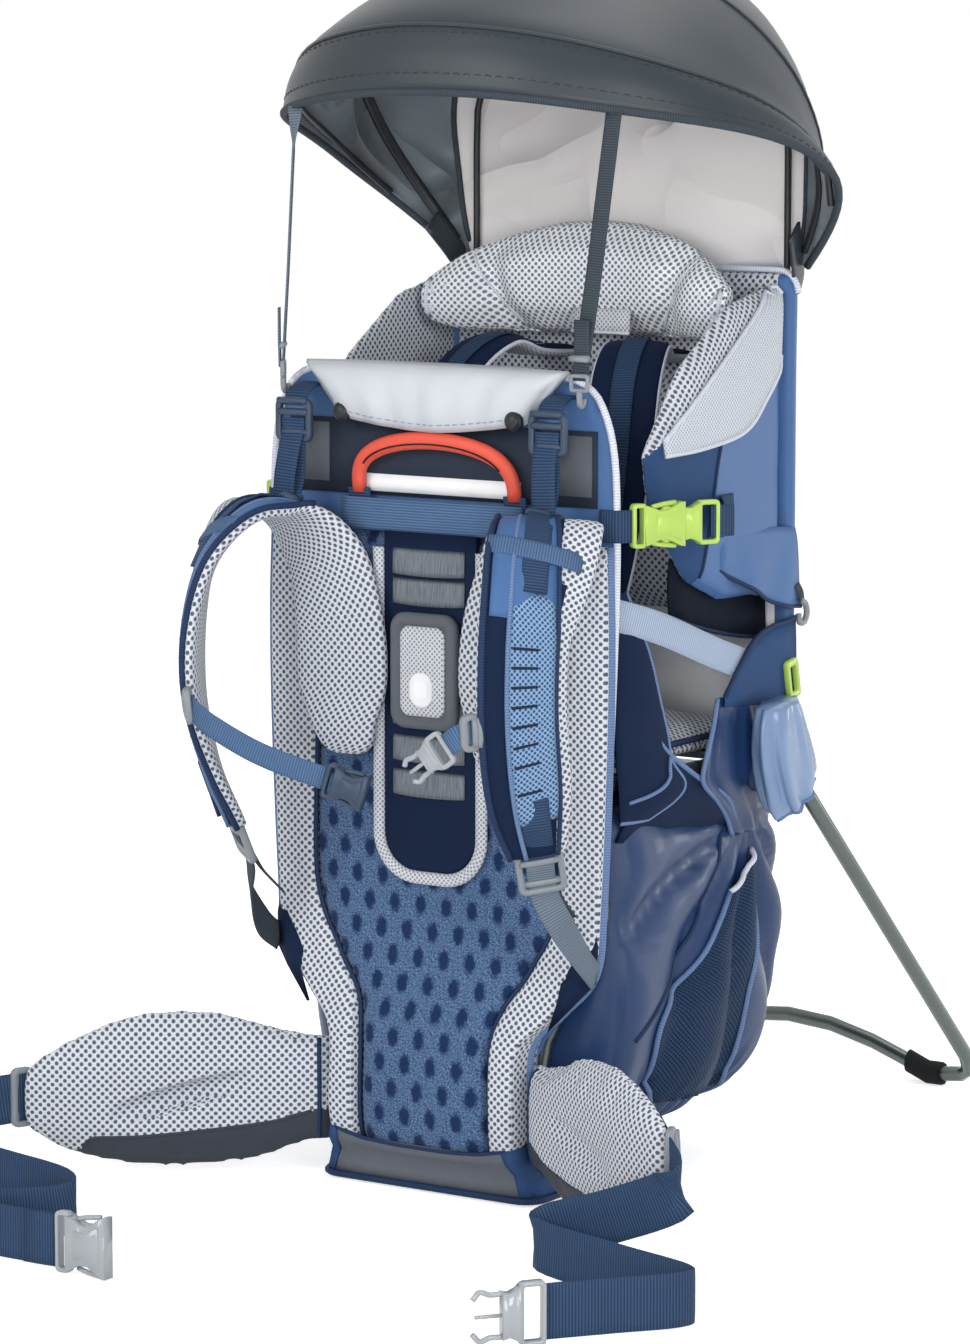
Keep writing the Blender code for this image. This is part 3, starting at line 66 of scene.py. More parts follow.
def add(tree, kind, inputs=None, **props):
    """Add a shader node, set its properties and set or link its inputs."""
    item = tree.nodes.new("ShaderNode" + kind)
    for key, value in props.items():
        setattr(item, key, value)
    for key, value in (inputs or {}).items():
        if isinstance(value, bpy.types.NodeSocket):
            tree.links.new(value, item.inputs[key])
        else:
            item.inputs[key].default_value = value
    return item


def calc(tree, operation, *values):
    """Result of a Math node."""
    return add(tree, "Math", dict(enumerate(values)), operation=operation).outputs[0]


def vector(tree, operation, *values):
    """Result of a Vector Math node."""
    item = add(tree, "VectorMath", dict(enumerate(values)), operation=operation)
    return item.outputs["Value" if operation == "LENGTH" else "Vector"]


def ramp(tree, value, low, high):
    """Smooth step from 0 at low to 1 at high."""
    item = add(tree, "MapRange", {"Value": value, "From Min": low, "From Max": high})
    item.interpolation_type = "SMOOTHSTEP"
    return item.outputs["Result"]


def mix(tree, factor, first, second):
    """Blend of two colours."""
    item = add(tree, "Mix", {0: factor, 6: first, 7: second}, data_type="RGBA")
    return item.outputs[2]


def holes(tree, uv, pitch, size):
    """Staggered round holes of a spacer mesh: 0 in a hole and 1 on the threads."""
    scaled = vector(tree, "MULTIPLY", uv, (1 / pitch, 1 / pitch, 0))
    nearest = None
    for shift in (0.0, 0.5):
        part = vector(tree, "FRACTION", vector(tree, "ADD", scaled, (shift, shift, 0)))
        reach = vector(tree, "LENGTH", vector(tree, "SUBTRACT", part, (0.5, 0.5, 0)))
        nearest = reach if nearest is None else calc(tree, "MINIMUM", nearest, reach)
    return ramp(tree, nearest, size * 0.7, size * 1.25)


def threads(tree, uv, pitch):
    """Fine over and under of plain weave or webbing."""
    parts = add(tree, "SeparateXYZ", {0: uv}).outputs
    across = calc(tree, "SINE", calc(tree, "MULTIPLY", parts[0], 2 * pi / pitch))
    along = calc(tree, "SINE", calc(tree, "MULTIPLY", parts[1], 2 * pi / pitch))
    return calc(tree, "MULTIPLY_ADD", calc(tree, "MULTIPLY", across, along), 0.5, 0.5)


def dashes(tree, uv, pitch_u, pitch_v, size_u, size_v):
    """Staggered upright blots with soft edges: 1 inside a blot."""
    wobble = add(tree, "TexNoise", {"Vector": uv, "Scale": 260.0, "Detail": 2.0}).outputs["Fac"]
    result = None
    for shift in (0.0, 0.5):
        cell = vector(tree, "MULTIPLY", uv, (1 / pitch_u, 1 / (2 * pitch_v), 0))
        part = vector(tree, "FRACTION", vector(tree, "ADD", cell, (shift, shift, 0)))
        away = vector(tree, "SUBTRACT", part, (0.5, 0.5, 0))
        shares = vector(tree, "MULTIPLY", away, (2 * pitch_u / size_u, 4 * pitch_v / size_v, 0))
        reach = calc(tree, "MULTIPLY_ADD", wobble, 0.9, vector(tree, "LENGTH", shares))
        inside = calc(tree, "SUBTRACT", 1.0, ramp(tree, reach, 1.05, 1.75))
        result = inside if result is None else calc(tree, "MAXIMUM", result, inside)
    return result


GLOSSY = 0.5
SPECULAR = {True: 0.28, False: 0.10}


def material(name, colour, roughness, dark=None, pattern=None, depth=0.0004, mottle=0.10, sheen=0.0,
             metallic=0.0, coat=0.0, cloud=60.0, crease=0.0):
    """Principled material with a patterned, mottled colour and a matching bump, over soft creases."""
    colour = rgb(*colour)
    mat = bpy.data.materials.new(name)
    mat.use_nodes = True
    tree = mat.node_tree
    shader = tree.nodes["Principled BSDF"]
    for key, value in (("Metallic", metallic), ("Specular IOR Level", SPECULAR[roughness < GLOSSY]),
                       ("Sheen Weight", sheen), ("Sheen Roughness", 0.4), ("Coat Weight", coat)):
        shader.inputs[key].default_value = value
    place = add(tree, "TexCoord")
    clouds = add(tree, "TexNoise", {"Vector": place.outputs["Object"], "Scale": cloud, "Detail": 4.0})
    shade = tuple(c * (1 - mottle) for c in colour[:3]) + (1.0,)
    light = tuple(min(c * (1 + mottle), 1.0) for c in colour[:3]) + (1.0,)
    base = mix(tree, clouds.outputs["Fac"], shade, light)
    if pattern:
        height = pattern(tree, place.outputs["UV"])
        base = mix(tree, height, rgb(*dark), base)
    else:
        height = add(tree, "TexNoise", {"Vector": place.outputs["Object"], "Scale": 900.0}).outputs["Fac"]
    tree.links.new(base, shader.inputs["Base Color"])
    rough = add(tree, "MapRange", {"Value": clouds.outputs["Fac"], "To Min": roughness - 0.06,
                                   "To Max": roughness + 0.06})
    tree.links.new(rough.outputs["Result"], shader.inputs["Roughness"])
    bump = add(tree, "Bump", {"Height": height, "Strength": 0.6, "Distance": depth})
    if crease:
        ridges = add(tree, "TexNoise", {"Vector": place.outputs["Object"], "Scale": 7.0, "Detail": 1.5,
                                        "Distortion": 0.8, "Offset": 1.0}, noise_type="RIDGED_MULTIFRACTAL")
        folds = add(tree, "Bump", {"Height": ridges.outputs["Fac"], "Strength": 1.0, "Distance": crease})
        tree.links.new(folds.outputs["Normal"], bump.inputs["Normal"])
    tree.links.new(bump.outputs["Normal"], shader.inputs["Normal"])
    return mat


def heather(tree, uv):
    """Tone of the blue back weave: slanting light threads, with dark blots near 0."""
    parts = add(tree, "SeparateXYZ", {0: uv}).outputs
    along = calc(tree, "MULTIPLY", calc(tree, "ADD", parts[0], parts[1]), 340.0)
    across = calc(tree, "MULTIPLY", calc(tree, "SUBTRACT", parts[0], parts[1]), 900.0)
    slanted = add(tree, "CombineXYZ", {0: along, 1: across}).outputs[0]
    twill = add(tree, "TexNoise", {"Vector": slanted, "Scale": 1.0, "Detail": 1.0}).outputs["Fac"]
    fleck = ramp(tree, twill, 0.38, 0.64)
    mark = dashes(tree, uv, 0.0240, 0.0205, 0.0105, 0.0165)
    tone = calc(tree, "MULTIPLY_ADD", fleck, 0.78, 0.22)
    return calc(tree, "MULTIPLY", tone, calc(tree, "SUBTRACT", 1.0, calc(tree, "MULTIPLY", mark, 0.92)))


def ribs(pitch):
    """Pattern of ribs across the length."""
    def pattern(tree, uv):
        parts = add(tree, "SeparateXYZ", {0: uv}).outputs
        wave = calc(tree, "SINE", calc(tree, "MULTIPLY", parts[1], 2 * pi / pitch))
        return calc(tree, "MULTIPLY_ADD", wave, 0.5, 0.5)
    return pattern


def brushed(tree, uv):
    """Uneven threads of the silver rungs, running up and down."""
    stretched = vector(tree, "MULTIPLY", uv, (900, 60, 0))
    return add(tree, "TexNoise", {"Vector": stretched, "Scale": 1.0, "Detail": 2.0}).outputs["Fac"]


def make_materials():
    """Every finish of the carrier, with its display colours and its pattern."""
    def weave(pitch):
        return lambda tree, uv: threads(tree, uv, pitch)

    def mesh(pitch, size):
        return lambda tree, uv: holes(tree, uv, pitch, size)

    return {
        "mesh": material("light_mesh", (204, 208, 216), 0.85, (84, 90, 104), mesh(0.0066, 0.24), 0.0012,
                         0.04, 0.15),
        "fine_mesh": material("fine_mesh", (208, 210, 216), 0.85, (138, 141, 152), mesh(0.0042, 0.24),
                              0.0006, 0.04, 0.15),
        # Headrest mesh: a lighter copy of the light mesh, painted light that brightens the headrest in the
        # sunshade's shade.
        "head_mesh_painted_light": material("head_mesh_painted_light", (232, 235, 240), 0.85, (116, 121, 133), mesh(0.0060, 0.24),
                              0.0012, 0.04, 0.1),
        "steel_mesh": material("steel_mesh", (132, 160, 192), 0.8, (50, 82, 124), mesh(0.0046, 0.26), 0.0008,
                               0.05, 0.1),
        "navy_mesh": material("navy_mesh", (40, 64, 97), 0.55, (12, 20, 34), mesh(0.0040, 0.27), 0.0008,
                              0.08),
        "heather": material("heather_weave", (98, 126, 162), 0.85, (14, 34, 72), heather, 0.0005, 0.06, 0.1),
        "blue": material("blue_cloth", (70, 108, 158), 0.46, (56, 88, 134), weave(0.0012), 0.0002, 0.10,
                         cloud=25.0),
        "nylon": material("blue_nylon", (33, 59, 101), 0.34, (27, 49, 86), weave(0.0010), 0.0001, 0.20,
                          coat=0.1, cloud=14.0),
        "deep_blue": material("deep_blue_cloth", (50, 78, 120), 0.65, (40, 64, 100), weave(0.0012), 0.0002,
                              0.10, cloud=25.0),
        "sleeve": material("sleeve_nylon", (124, 148, 184), 0.30, (104, 127, 162), weave(0.0010), 0.0001,
                           0.16, coat=0.35, cloud=18.0),
        "navy": material("navy_cloth", (22, 38, 68), 0.70, (15, 27, 49), weave(0.0012), 0.0002, 0.10),
        # Near-black navy of the sheets under the walls: a navy inner cloth darkened as painted shade of the
        # shadowed interior seen below each wall.
        "painted_shade_navy": material("shadowed_inner_cloth", (20, 28, 42), 0.8, (14, 20, 31), weave(0.0014)),
        "coal": material("coal_cloth", (66, 71, 79), 0.62, (54, 58, 66), weave(0.0014)),
        "charcoal": material("charcoal_cloth", (104, 109, 117), 0.62, (86, 91, 99), weave(0.0014)),
        "slate": material("slate_nylon", (50, 58, 64), 0.34, (41, 48, 54), weave(0.0011), 0.0001, 0.08,
                          cloud=12.0),
        # Underside of the sunshade's nylon: lighter than the slate outer face, and raised further as painted
        # light to make up for the shade beneath the sunshade.
        "inside": material("shade_underside_painted_light", (112, 122, 130), 0.42, (96, 106, 114), weave(0.0011), 0.0001,
                           0.08, 0.2, cloud=12.0, crease=0.045),
        "beige": material("lining_cloth", (238, 234, 233), 0.75, (226, 222, 221), weave(0.0012), 0.0002,
                          0.03, 0.1, cloud=10.0, crease=0.009),
        "silver": material("silver_cloth", (204, 208, 214), 0.30, (180, 184, 191), weave(0.0011), 0.0002,
                           0.05, cloud=14.0),
        "band": material("ribbed_band", (206, 211, 218), 0.75, (160, 167, 178), mesh(0.0040, 0.25), 0.0006,
                         0.03, 0.1),
        "web": material("navy_webbing", (54, 76, 106), 0.66, (33, 49, 73), ribs(0.0024), 0.0003),
        "blue_web": material("blue_webbing", (84, 111, 146), 0.7, (59, 82, 113), ribs(0.0022), 0.0003),
        "grey_web": material("grey_webbing", (168, 182, 202), 0.7, (138, 152, 174), ribs(0.0022), 0.0003),
        "ash_web": material("ash_webbing", (114, 126, 140), 0.7, (84, 95, 108), ribs(0.0022), 0.0003),
        "dark_web": material("dark_webbing", (68, 76, 84), 0.7, (48, 54, 61), ribs(0.0020), 0.0003),
        "rung": material("silver_webbing", (142, 149, 156), 0.55, (54, 62, 72), brushed, 0.0004),
        "piping": material("blue_piping", (108, 132, 170), 0.55, (86, 110, 148), ribs(0.0022), 0.0003),
        "pale_piping": material("pale_piping", (216, 220, 230), 0.6, (188, 192, 204), ribs(0.0022), 0.0003),
        "navy_piping": material("navy_piping", (40, 58, 90), 0.55, (29, 43, 69), ribs(0.0022), 0.0003),
        "thread": material("dark_thread", (32, 42, 60), 0.7),
        "pale_thread": material("pale_thread", (144, 160, 186), 0.7),
        "plastic": material("slate_plastic", (52, 66, 86), 0.42, mottle=0.05, depth=0.00005),
        "grey_plastic": material("grey_plastic", (126, 132, 138), 0.36, mottle=0.05, depth=0.00005),
        "pale_plastic": material("pale_plastic", (150, 155, 160), 0.20, mottle=0.03, depth=0.00003, coat=0.4),
        "lime": material("lime_plastic", (170, 200, 92), 0.32, mottle=0.04, depth=0.00004, coat=0.2),
        "red": material("red_handle", (214, 84, 66), 0.45, mottle=0.05, depth=0.0001),
        "tube": material("dark_anodised", (92, 100, 98), 0.28, mottle=0.05, metallic=0.85, depth=0.00002,
                         cloud=200.0),
        "rubber": material("black_rubber", (30, 31, 33), 0.7, mottle=0.2, depth=0.0002, cloud=300.0),
        "rod": material("black_rod", (34, 36, 40), 0.4, mottle=0.1, depth=0.00004),
        "white": material("plain_strip", (244, 245, 247), 0.6, (236, 237, 241), weave(0.0016)),
        "bare": material("bare_panel", (50, 58, 72), 0.6, (39, 46, 58), weave(0.0016)),
    }


M = make_materials()


# Mesh helpers

def link(name, data):
    """New object for a mesh, lamp or camera."""
    obj = bpy.data.objects.new(name, data)
    bpy.context.scene.collection.objects.link(obj)
    return obj


def made(name, shape, mats=()):
    """New object from a finished bmesh."""
    mesh = bpy.data.meshes.new(name)
    shape.to_mesh(mesh)
    shape.free()
    for mat in mats:
        mesh.materials.append(mat)
    return link(name, mesh)


def curve(rows, steps):
    """Smooth run through rows of numbers or points."""
    knots = [Vector(row) for row in rows]
    knots = [2 * knots[0] - knots[1]] + knots + [2 * knots[-1] - knots[-2]]
    result = []
    for before, start, end, after in zip(knots, knots[1:], knots[2:], knots[3:]):
        for step in range(steps):
            t = step / steps
            result.append(0.5 * (2 * start + (end - before) * t
                                 + (2 * before - 5 * start + 4 * end - after) * t * t
                                 + (3 * start - before - 3 * end + after) * t ** 3))
    return result + [knots[-2]]


def spread(count):
    """Even numbers from -1 to 1."""
    return [k / count * 2 - 1 for k in range(count + 1)]


def mirrored(side, points):
    """Points of the right side, or the same ones on the left."""
    return [(side * x, y, z) for x, y, z in points]


def ways(points, loop=False):
    """Direction of a route at each point."""
    count = len(points)
    result = []
    for i in range(count):
        before = points[i - 1] if loop or i else points[0]
        after = points[(i + 1) % count] if loop or i + 1 < count else points[-1]
        result.append((after - before).normalized())
    return result


def marks_of(line):
    """Distance of each point of a line from its start."""
    marks = [0.0]
    for a, b in zip(line, line[1:]):
        marks.append(marks[-1] + (b - a).length)
    return marks


def at(line, marks, distance):
    """Point at a distance along a line."""
    for i, end in enumerate(marks[1:]):
        if distance <= end:
            return line[i].lerp(line[i + 1], (distance - marks[i]) / max(end - marks[i], 1e-9))
    return line[-1]


def measure(rows, ring, loop):
    """Distances along each row, from its middle, and along the run of rows."""
    across = []
    for row in rows:
        marks = marks_of(row + row[:1] if ring else row)
        across.append([mark - marks[-1] / 2 for mark in marks])
    run = rows + rows[:1] if loop else rows
    along = [0.0]
    for a, b in zip(run, run[1:]):
        along.append(along[-1] + sum((q - p).length for p, q in zip(a, b)) / len(a))
    return across, along


def skin(name, rows, mats, ring=False, loop=False, caps=False, pick=None):
    """Skin rows of points, with distances as UV and a material picked by column and row."""
    rows = [[Vector(point) for point in row] for row in rows]
    count, width = len(rows), len(rows[0])
    across, along = measure(rows, ring, loop)
    shape = bmesh.new()
    layer = shape.loops.layers.uv.new("UVMap")
    grid = [[shape.verts.new(point) for point in row] for row in rows]
    for i in range(count if loop else count - 1):
        for j in range(width if ring else width - 1):
            a, b = (i + 1) % count, (j + 1) % width
            spots = ((i, j), (i, b), (a, b), (a, j))
            try:
                face = shape.faces.new([grid[p][q] for p, q in spots])
            except ValueError:
                continue
            marks = ((i, j, i), (i, j + 1, i), (a, j + 1, i + 1), (a, j, i + 1))
            for corner, (p, q, r) in zip(face.loops, marks):
                corner[layer].uv = (across[p][q], along[r])
            face.smooth = True
            if pick:
                face.material_index = pick(i, j)
    if caps:
        for row in (grid[0], grid[-1]):
            shape.faces.new(row).smooth = True
    if ring or caps:
        bmesh.ops.recalc_face_normals(shape, faces=shape.faces)
        if (caps or loop) and shape.calc_volume(signed=True) < 0:
            bmesh.ops.reverse_faces(shape, faces=shape.faces)
    return made(name, shape, mats if isinstance(mats, list) else [mats])


def solid(name, rows, mats, pick=None):
    """Closed skin over rings of points, capped at both ends."""
    return skin(name, rows, mats, ring=True, caps=True, pick=pick)


def round_ring(point, way, side, radius, flat, sides):
    """Ring of points round a route, flattened along its second direction."""
    over = way.cross(side)
    return [point + radius * (side * cos(2 * pi * k / sides) + over * (flat * sin(2 * pi * k / sides)))
            for k in range(sides)]


def tube(name, points, radius, mat, loop=False, sides=8, flat=1.0, side=None):
    """Round or flattened tube along a route."""
    points = [Vector(point) for point in points]
    directions = ways(points, loop)
    side = Vector(side) if side else directions[0].orthogonal()
    radii = radius if isinstance(radius, (list, tuple)) else [radius] * len(points)
    rings = []
    for point, way, size in zip(points, directions, radii):
        side = (side - way * side.dot(way)).normalized()
        rings.append(round_ring(point, way, side, size, flat, sides))
    return skin(name, rings, mat, ring=True, loop=loop, caps=not loop)


def frames(points, acrosses):
    """Points with a true width direction and a normal at each."""
    result = []
    for point, way, across in zip(points, ways(points), acrosses):
        side = (across - way * across.dot(way)).normalized()
        result.append((point, side, way.cross(side)))
    return result


def web(name, points, acrosses, width, thickness, mat, bulge=0.0):
    """Flat strap with soft edges along a route."""
    points = [Vector(point) for point in points]
    if isinstance(acrosses, Vector):
        acrosses = [acrosses] * len(points)
    shape = [(-1, 0), (-0.97, 0.75), (-0.6, 1 + bulge * 0.6), (0, 1 + bulge), (0.6, 1 + bulge * 0.6),
             (0.97, 0.75), (1, 0), (0.97, -0.75), (0.6, -1 - bulge * 0.6), (0, -1 - bulge),
             (-0.6, -1 - bulge * 0.6), (-0.97, -0.75)]
    rows = [[point + side * (width / 2 * a) + normal * (thickness / 2 * b) for a, b in shape]
            for point, side, normal in frames(points, acrosses)]
    return solid(name, rows, mat)


def surface_normals(rows):
    """Normal of a grid of points at each point."""
    columns = [list(column) for column in zip(*rows)]
    down = [ways(column) for column in columns]
    return [[across.cross(down[j][i]).normalized() for j, across in enumerate(ways(row))]
            for i, row in enumerate(rows)]


def cloth(name, rows, thickness, mats, pick=None):
    """Closed sheet of cloth, with a finish picked by row and column."""
    rows = [[Vector(point) for point in row] for row in rows]
    rings = []
    for row, lift in zip(rows, surface_normals(rows)):
        near = [p + n * (thickness / 2) for p, n in zip(row, lift)]
        far = [p - n * (thickness / 2) for p, n in zip(row, lift)]
        rings.append(near + far[::-1])
    return solid(name, rings, mats, pick=pick)


def piece(obj, body, slot, *nodes):
    """Let a piece ride on a body and stand for CAD nodes."""
    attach(obj, body)
    if nodes:
        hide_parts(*nodes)
    return obj


def sheet(name, rows, thickness, mat, slot, flat, held, rests_on, *nodes):
    """Sheet of cloth on the pack."""
    piece(cloth(name, rows, thickness, M[mat]), "pack", slot, *nodes)


def trim(name, route, radius, mat, body="pack", slot="navy_webbing", **how):
    """Piping, seam, hook or other thin roll on a body."""
    piece(tube(name, route, radius, M[mat], **how), body, slot)


def webbing(name, route, acrosses, width, mat, body, *nodes, slot="navy_webbing", thickness=WEB_THICK):
    """Flat strap on a body."""
    piece(web(name, route, acrosses, width, thickness, M[mat]), body, slot, *nodes)


def join(name, parts):
    """Join meshes into one object."""
    mats = []
    shape = bmesh.new()
    shape.loops.layers.uv.new("UVMap")
    for part in parts:
        offset = len(mats)
        mats += list(part.data.materials)
        first = len(shape.faces)
        part.data.transform(part.matrix_world)
        shape.from_mesh(part.data)
        shape.faces.ensure_lookup_table()
        for face in shape.faces[first:]:
            face.material_index += offset
        bpy.data.objects.remove(part, do_unlink=True)
    return made(name, shape, mats)


def stitches(name, route, normal, mat, length=0.0042, gap=0.0028, radius=0.00045):
    """Row of short sewn stitches along a route."""
    route = [Vector(point) for point in route]
    marks = marks_of(route)
    parts = []
    start = gap
    while start + length < marks[-1]:
        ends = [at(route, marks, start + length * share) for share in (0, 0.5, 1)]
        lift = Vector(normal) * radius
        points = [ends[0] - lift, ends[1] + lift, ends[2] - lift]
        parts.append(tube("stitch", points, radius, mat, sides=5))
        start += length + gap
    return join(name, parts)


def box_uv(obj, u=RIGHT, v=UP):
    """Distances in a plane as UV, or across it on faces that stand up from the plane."""
    w = u.cross(v)
    mesh = obj.data
    layer = mesh.uv_layers.get("UVMap") or mesh.uv_layers.new(name="UVMap")
    for face in mesh.polygons:
        n = face.normal
        if abs(n.dot(w)) > 0.5:
            first, second = u, v
        elif abs(n.dot(v)) > abs(n.dot(u)):
            first, second = u, w
        else:
            first, second = w, v
        for index in face.loop_indices:
            point = mesh.vertices[mesh.loops[index].vertex_index].co
            layer.data[index].uv = (point.dot(first), point.dot(second))
    return obj


def zones(obj, mats, pick):
    """Give each face a finish by its centre and normal."""
    obj.data.materials.clear()
    for mat in mats:
        obj.data.materials.append(mat)
    for face in obj.data.polygons:
        face.material_index = pick(face.center, face.normal)
    return obj


# Padded pieces from the solids

def baked(obj):
    """Replace an object's mesh by its evaluated one."""
    graph = bpy.context.evaluated_depsgraph_get()
    mesh = bpy.data.meshes.new_from_object(obj.evaluated_get(graph))
    obj.modifiers.clear()
    obj.data = mesh
    return obj


def relax(obj, rounds, share=0.5):
    """Even out the points of a mesh."""
    shape = bmesh.new()
    shape.from_mesh(obj.data)
    for _ in range(rounds):
        bmesh.ops.smooth_vert(shape, verts=shape.verts, factor=share, use_axis_x=True, use_axis_y=True,
                              use_axis_z=True)
    shape.to_mesh(obj.data)
    shape.free()
    return obj


def joined(node):
    """Mesh of a solid with its double points joined."""
    shape = bmesh.new()
    shape.from_mesh(NODES[node].data)
    bmesh.ops.remove_doubles(shape, verts=shape.verts, dist=0.00002)
    return shape


def pad_from(node, name, voxel, shrink, rounds):
    """Copy a solid as an even mesh that is ready to be stuffed."""
    obj = made(name, joined(node))
    step = obj.modifiers.new("voxels", "REMESH")
    step.mode = "VOXEL"
    step.voxel_size = voxel
    baked(obj)
    relax(obj, rounds)
    obj.data.update()
    normals = [vertex.normal.copy() for vertex in obj.data.vertices]
    for vertex, normal in zip(obj.data.vertices, normals):
        vertex.co -= normal * shrink
    obj.data.shade_smooth()
    return obj


def stuff(pads, last=20, pressure=4.0):
    """Blow pads up as stuffed cloth; each point keeps near its start and its back stays flat."""
    scene = bpy.context.scene
    starts = {}
    for obj, front, cap in pads:
        starts[obj.name] = [(v.co.copy(), v.normal.copy()) for v in obj.data.vertices]
        step = obj.modifiers.new("cloth", "CLOTH")
        step.settings.quality = 4
        step.settings.use_pressure = True
        step.settings.uniform_pressure_force = pressure
        step.settings.effector_weights.gravity = 0
        step.point_cache.frame_end = last
    for number in range(1, last + 1):
        scene.frame_set(number)
    graph = bpy.context.evaluated_depsgraph_get()
    for obj, front, cap in pads:
        moved = [v.co.copy() for v in obj.evaluated_get(graph).data.vertices]
        obj.modifiers.clear()
        front = Vector(front)
        for vertex, (start, normal), end in zip(obj.data.vertices, starts[obj.name], moved):
            share = min(max(normal.dot(front) * 1.5 - 0.15, 0.0), 1.0)
            step = (end - start) * share
            if step.length > cap:
                step *= cap / step.length
            vertex.co = start + step
        relax(obj, 2, 0.4)
    scene.frame_set(1)


def finer(obj):
    """One subdivision."""
    step = obj.modifiers.new("finer", "SUBSURF")
    step.levels = 1
    step.render_levels = 1
    baked(obj)
    obj.data.shade_smooth()
    return obj


def tree_of(obj):
    """Ray tree of a mesh."""
    mesh = obj.data
    return BVHTree.FromPolygons([v.co for v in mesh.vertices], [list(f.vertices) for f in mesh.polygons])


def drape(target, points, direction, lift):
    """Lay points on a target along a direction, a little above it."""
    direction = Vector(direction).normalized()
    result = []
    for point in points:
        point = Vector(point)
        spot = target.ray_cast(point - direction * 0.3, direction)[0]
        if spot is None:
            spot = target.find_nearest(point)[0]
        result.append(spot - direction * lift)
    return result


def outline_rect(half_x, half_y, radius, steps=4):
    """Rounded rectangle about the origin, as pairs."""
    points = []
    for k, (sx, sy) in enumerate(((1, 1), (-1, 1), (-1, -1), (1, -1))):
        for step in range(steps + 1):
            turn = (k + step / steps) * pi / 2
            points.append((sx * (half_x - radius) + radius * cos(turn),
                           sy * (half_y - radius) + radius * sin(turn)))
    return points


def placed(pairs, origin, x_axis, y_axis, offset, normal):
    """Pairs of numbers as points in a plane."""
    return [origin + x_axis * x + y_axis * y + normal * offset for x, y in pairs]


def plate(name, outer, thickness, origin, x_axis, y_axis, mat, inner=None, soft=0.0008):
    """Moulded plate of an outline with soft edges, and a window where an inner outline is given."""
    origin, x_axis, y_axis = Vector(origin), Vector(x_axis).normalized(), Vector(y_axis).normalized()
    normal = x_axis.cross(y_axis)
    half = thickness / 2
    centre = [sum(p[i] for p in outer) / len(outer) for i in (0, 1)]

    def drawn(pairs, amount):
        size = max(max(abs(x - centre[0]), abs(y - centre[1])) for x, y in pairs)
        share = 1 - amount / size
        return [(centre[0] + (x - centre[0]) * share, centre[1] + (y - centre[1]) * share)
                for x, y in pairs]

    levels = [(drawn(outer, soft), -half), (outer, -half + soft), (outer, half - soft),
              (drawn(outer, soft), half)]
    if inner:
        levels += [(drawn(inner, -soft), half), (inner, half - soft), (inner, -half + soft),
                   (drawn(inner, -soft), -half)]
    rows = [placed(pairs, origin, x_axis, y_axis, z, normal) for pairs, z in levels]
    return skin(name, rows, mat, ring=True, loop=bool(inner), caps=not inner)


def disc(name, centre, normal, profile, mat, sides=16):
    """Turned button from pairs of radius and height."""
    normal = Vector(normal).normalized()
    side = normal.orthogonal().normalized()
    rows = [round_ring(Vector(centre) + normal * height, normal, side, radius, 1.0, sides)
            for radius, height in profile]
    return solid(name, rows, mat)


# Back panel

PAD_BACK = 0.0117
PAD_STATIONS = ((0.026, 0.060, 0.086, -0.016), (0.060, 0.061, 0.090, -0.024),
                (0.122, 0.061, 0.091, -0.022), (0.152, 0.068, 0.118, -0.012),
                (0.185, 0.090, 0.146, -0.004), (0.240, 0.113, 0.152, 0.000),
                (0.360, 0.112, 0.157, 0.000), (0.450, 0.116, 0.158, 0.000),
                (0.515, 0.118, 0.156, 0.001))


def crown(count, power):
    """Half of a rounded box as pairs: across from 1 to -1, and out from 0 to 1 and back."""
    pairs = []
    for k in range(count + 1):
        turn = pi * k / count
        across, out = cos(turn), max(sin(turn), 0.0)
        sign = 1 if across >= 0 else -1
        pairs.append((sign * abs(across) ** (2 / power), out ** (2 / power)))
    return pairs


def whole_crown(count, power):
    """Rounded box as pairs, all the way round."""
    half = crown(count, power)
    return half + [(across, -out) for across, out in half[-2:0:-1]]


def back_lines(steps=6):
    """Height, half widths and depth of the back padding, rounded at both ends."""
    rows = []
    stations = curve(PAD_STATIONS, steps)
    low, top = stations[0][0], stations[-1][0]
    for z, half, outer, front in stations:
        near = min(min(z - low, top - z) / 0.014, 1.0)
        lift = 0.30 + 0.70 * (near * (2 - near)) ** 0.5
        rows.append((z, half, outer, (PAD_BACK - front) * lift))
    return rows


def back_pad(name, inner, outer):
    """Pad between two edges, flat behind and crowned in front."""
    rows = []
    for z, half, edge, depth in back_lines():
        start, end = inner(half, edge), outer(half, edge)
        rows.append([((start + end) / 2 + (end - start) / 2 * across, PAD_BACK - depth * out, z)
                     for across, out in crown(26, 5.0)])
    return box_uv(solid(name, rows, M["mesh"]))


def make_back_panel():
    """Centre pad, the mesh pads beside it and their piping."""
    gap, hem_in = 0.0012, 0.0015
    centre = back_pad("centre_panel", lambda half, edge: -half + gap, lambda half, edge: half - gap)
    zones(centre, [M["heather"]], lambda spot, normal: 0)
    piece(centre, "pack", "blue_weave", "centre_pad")
    for word, side in SIDES:
        pad = back_pad("side_panel_" + word, lambda half, edge: side * (half + gap),
                       lambda half, edge: side * (edge - hem_in))
        piece(pad, "pack", "mesh", "back_pad_" + word)
        seam = [(side * half, PAD_BACK - depth * 0.70, z) for z, half, edge, depth in back_lines()]
        trim("centre_piping_" + word, seam, 0.0019, "navy_piping")
        hem = [(side * (edge - 0.001), PAD_BACK - depth * 0.30, z) for z, half, edge, depth in back_lines()]
        trim("edge_binding_" + word, hem, 0.0034, "piping", flat=0.7)


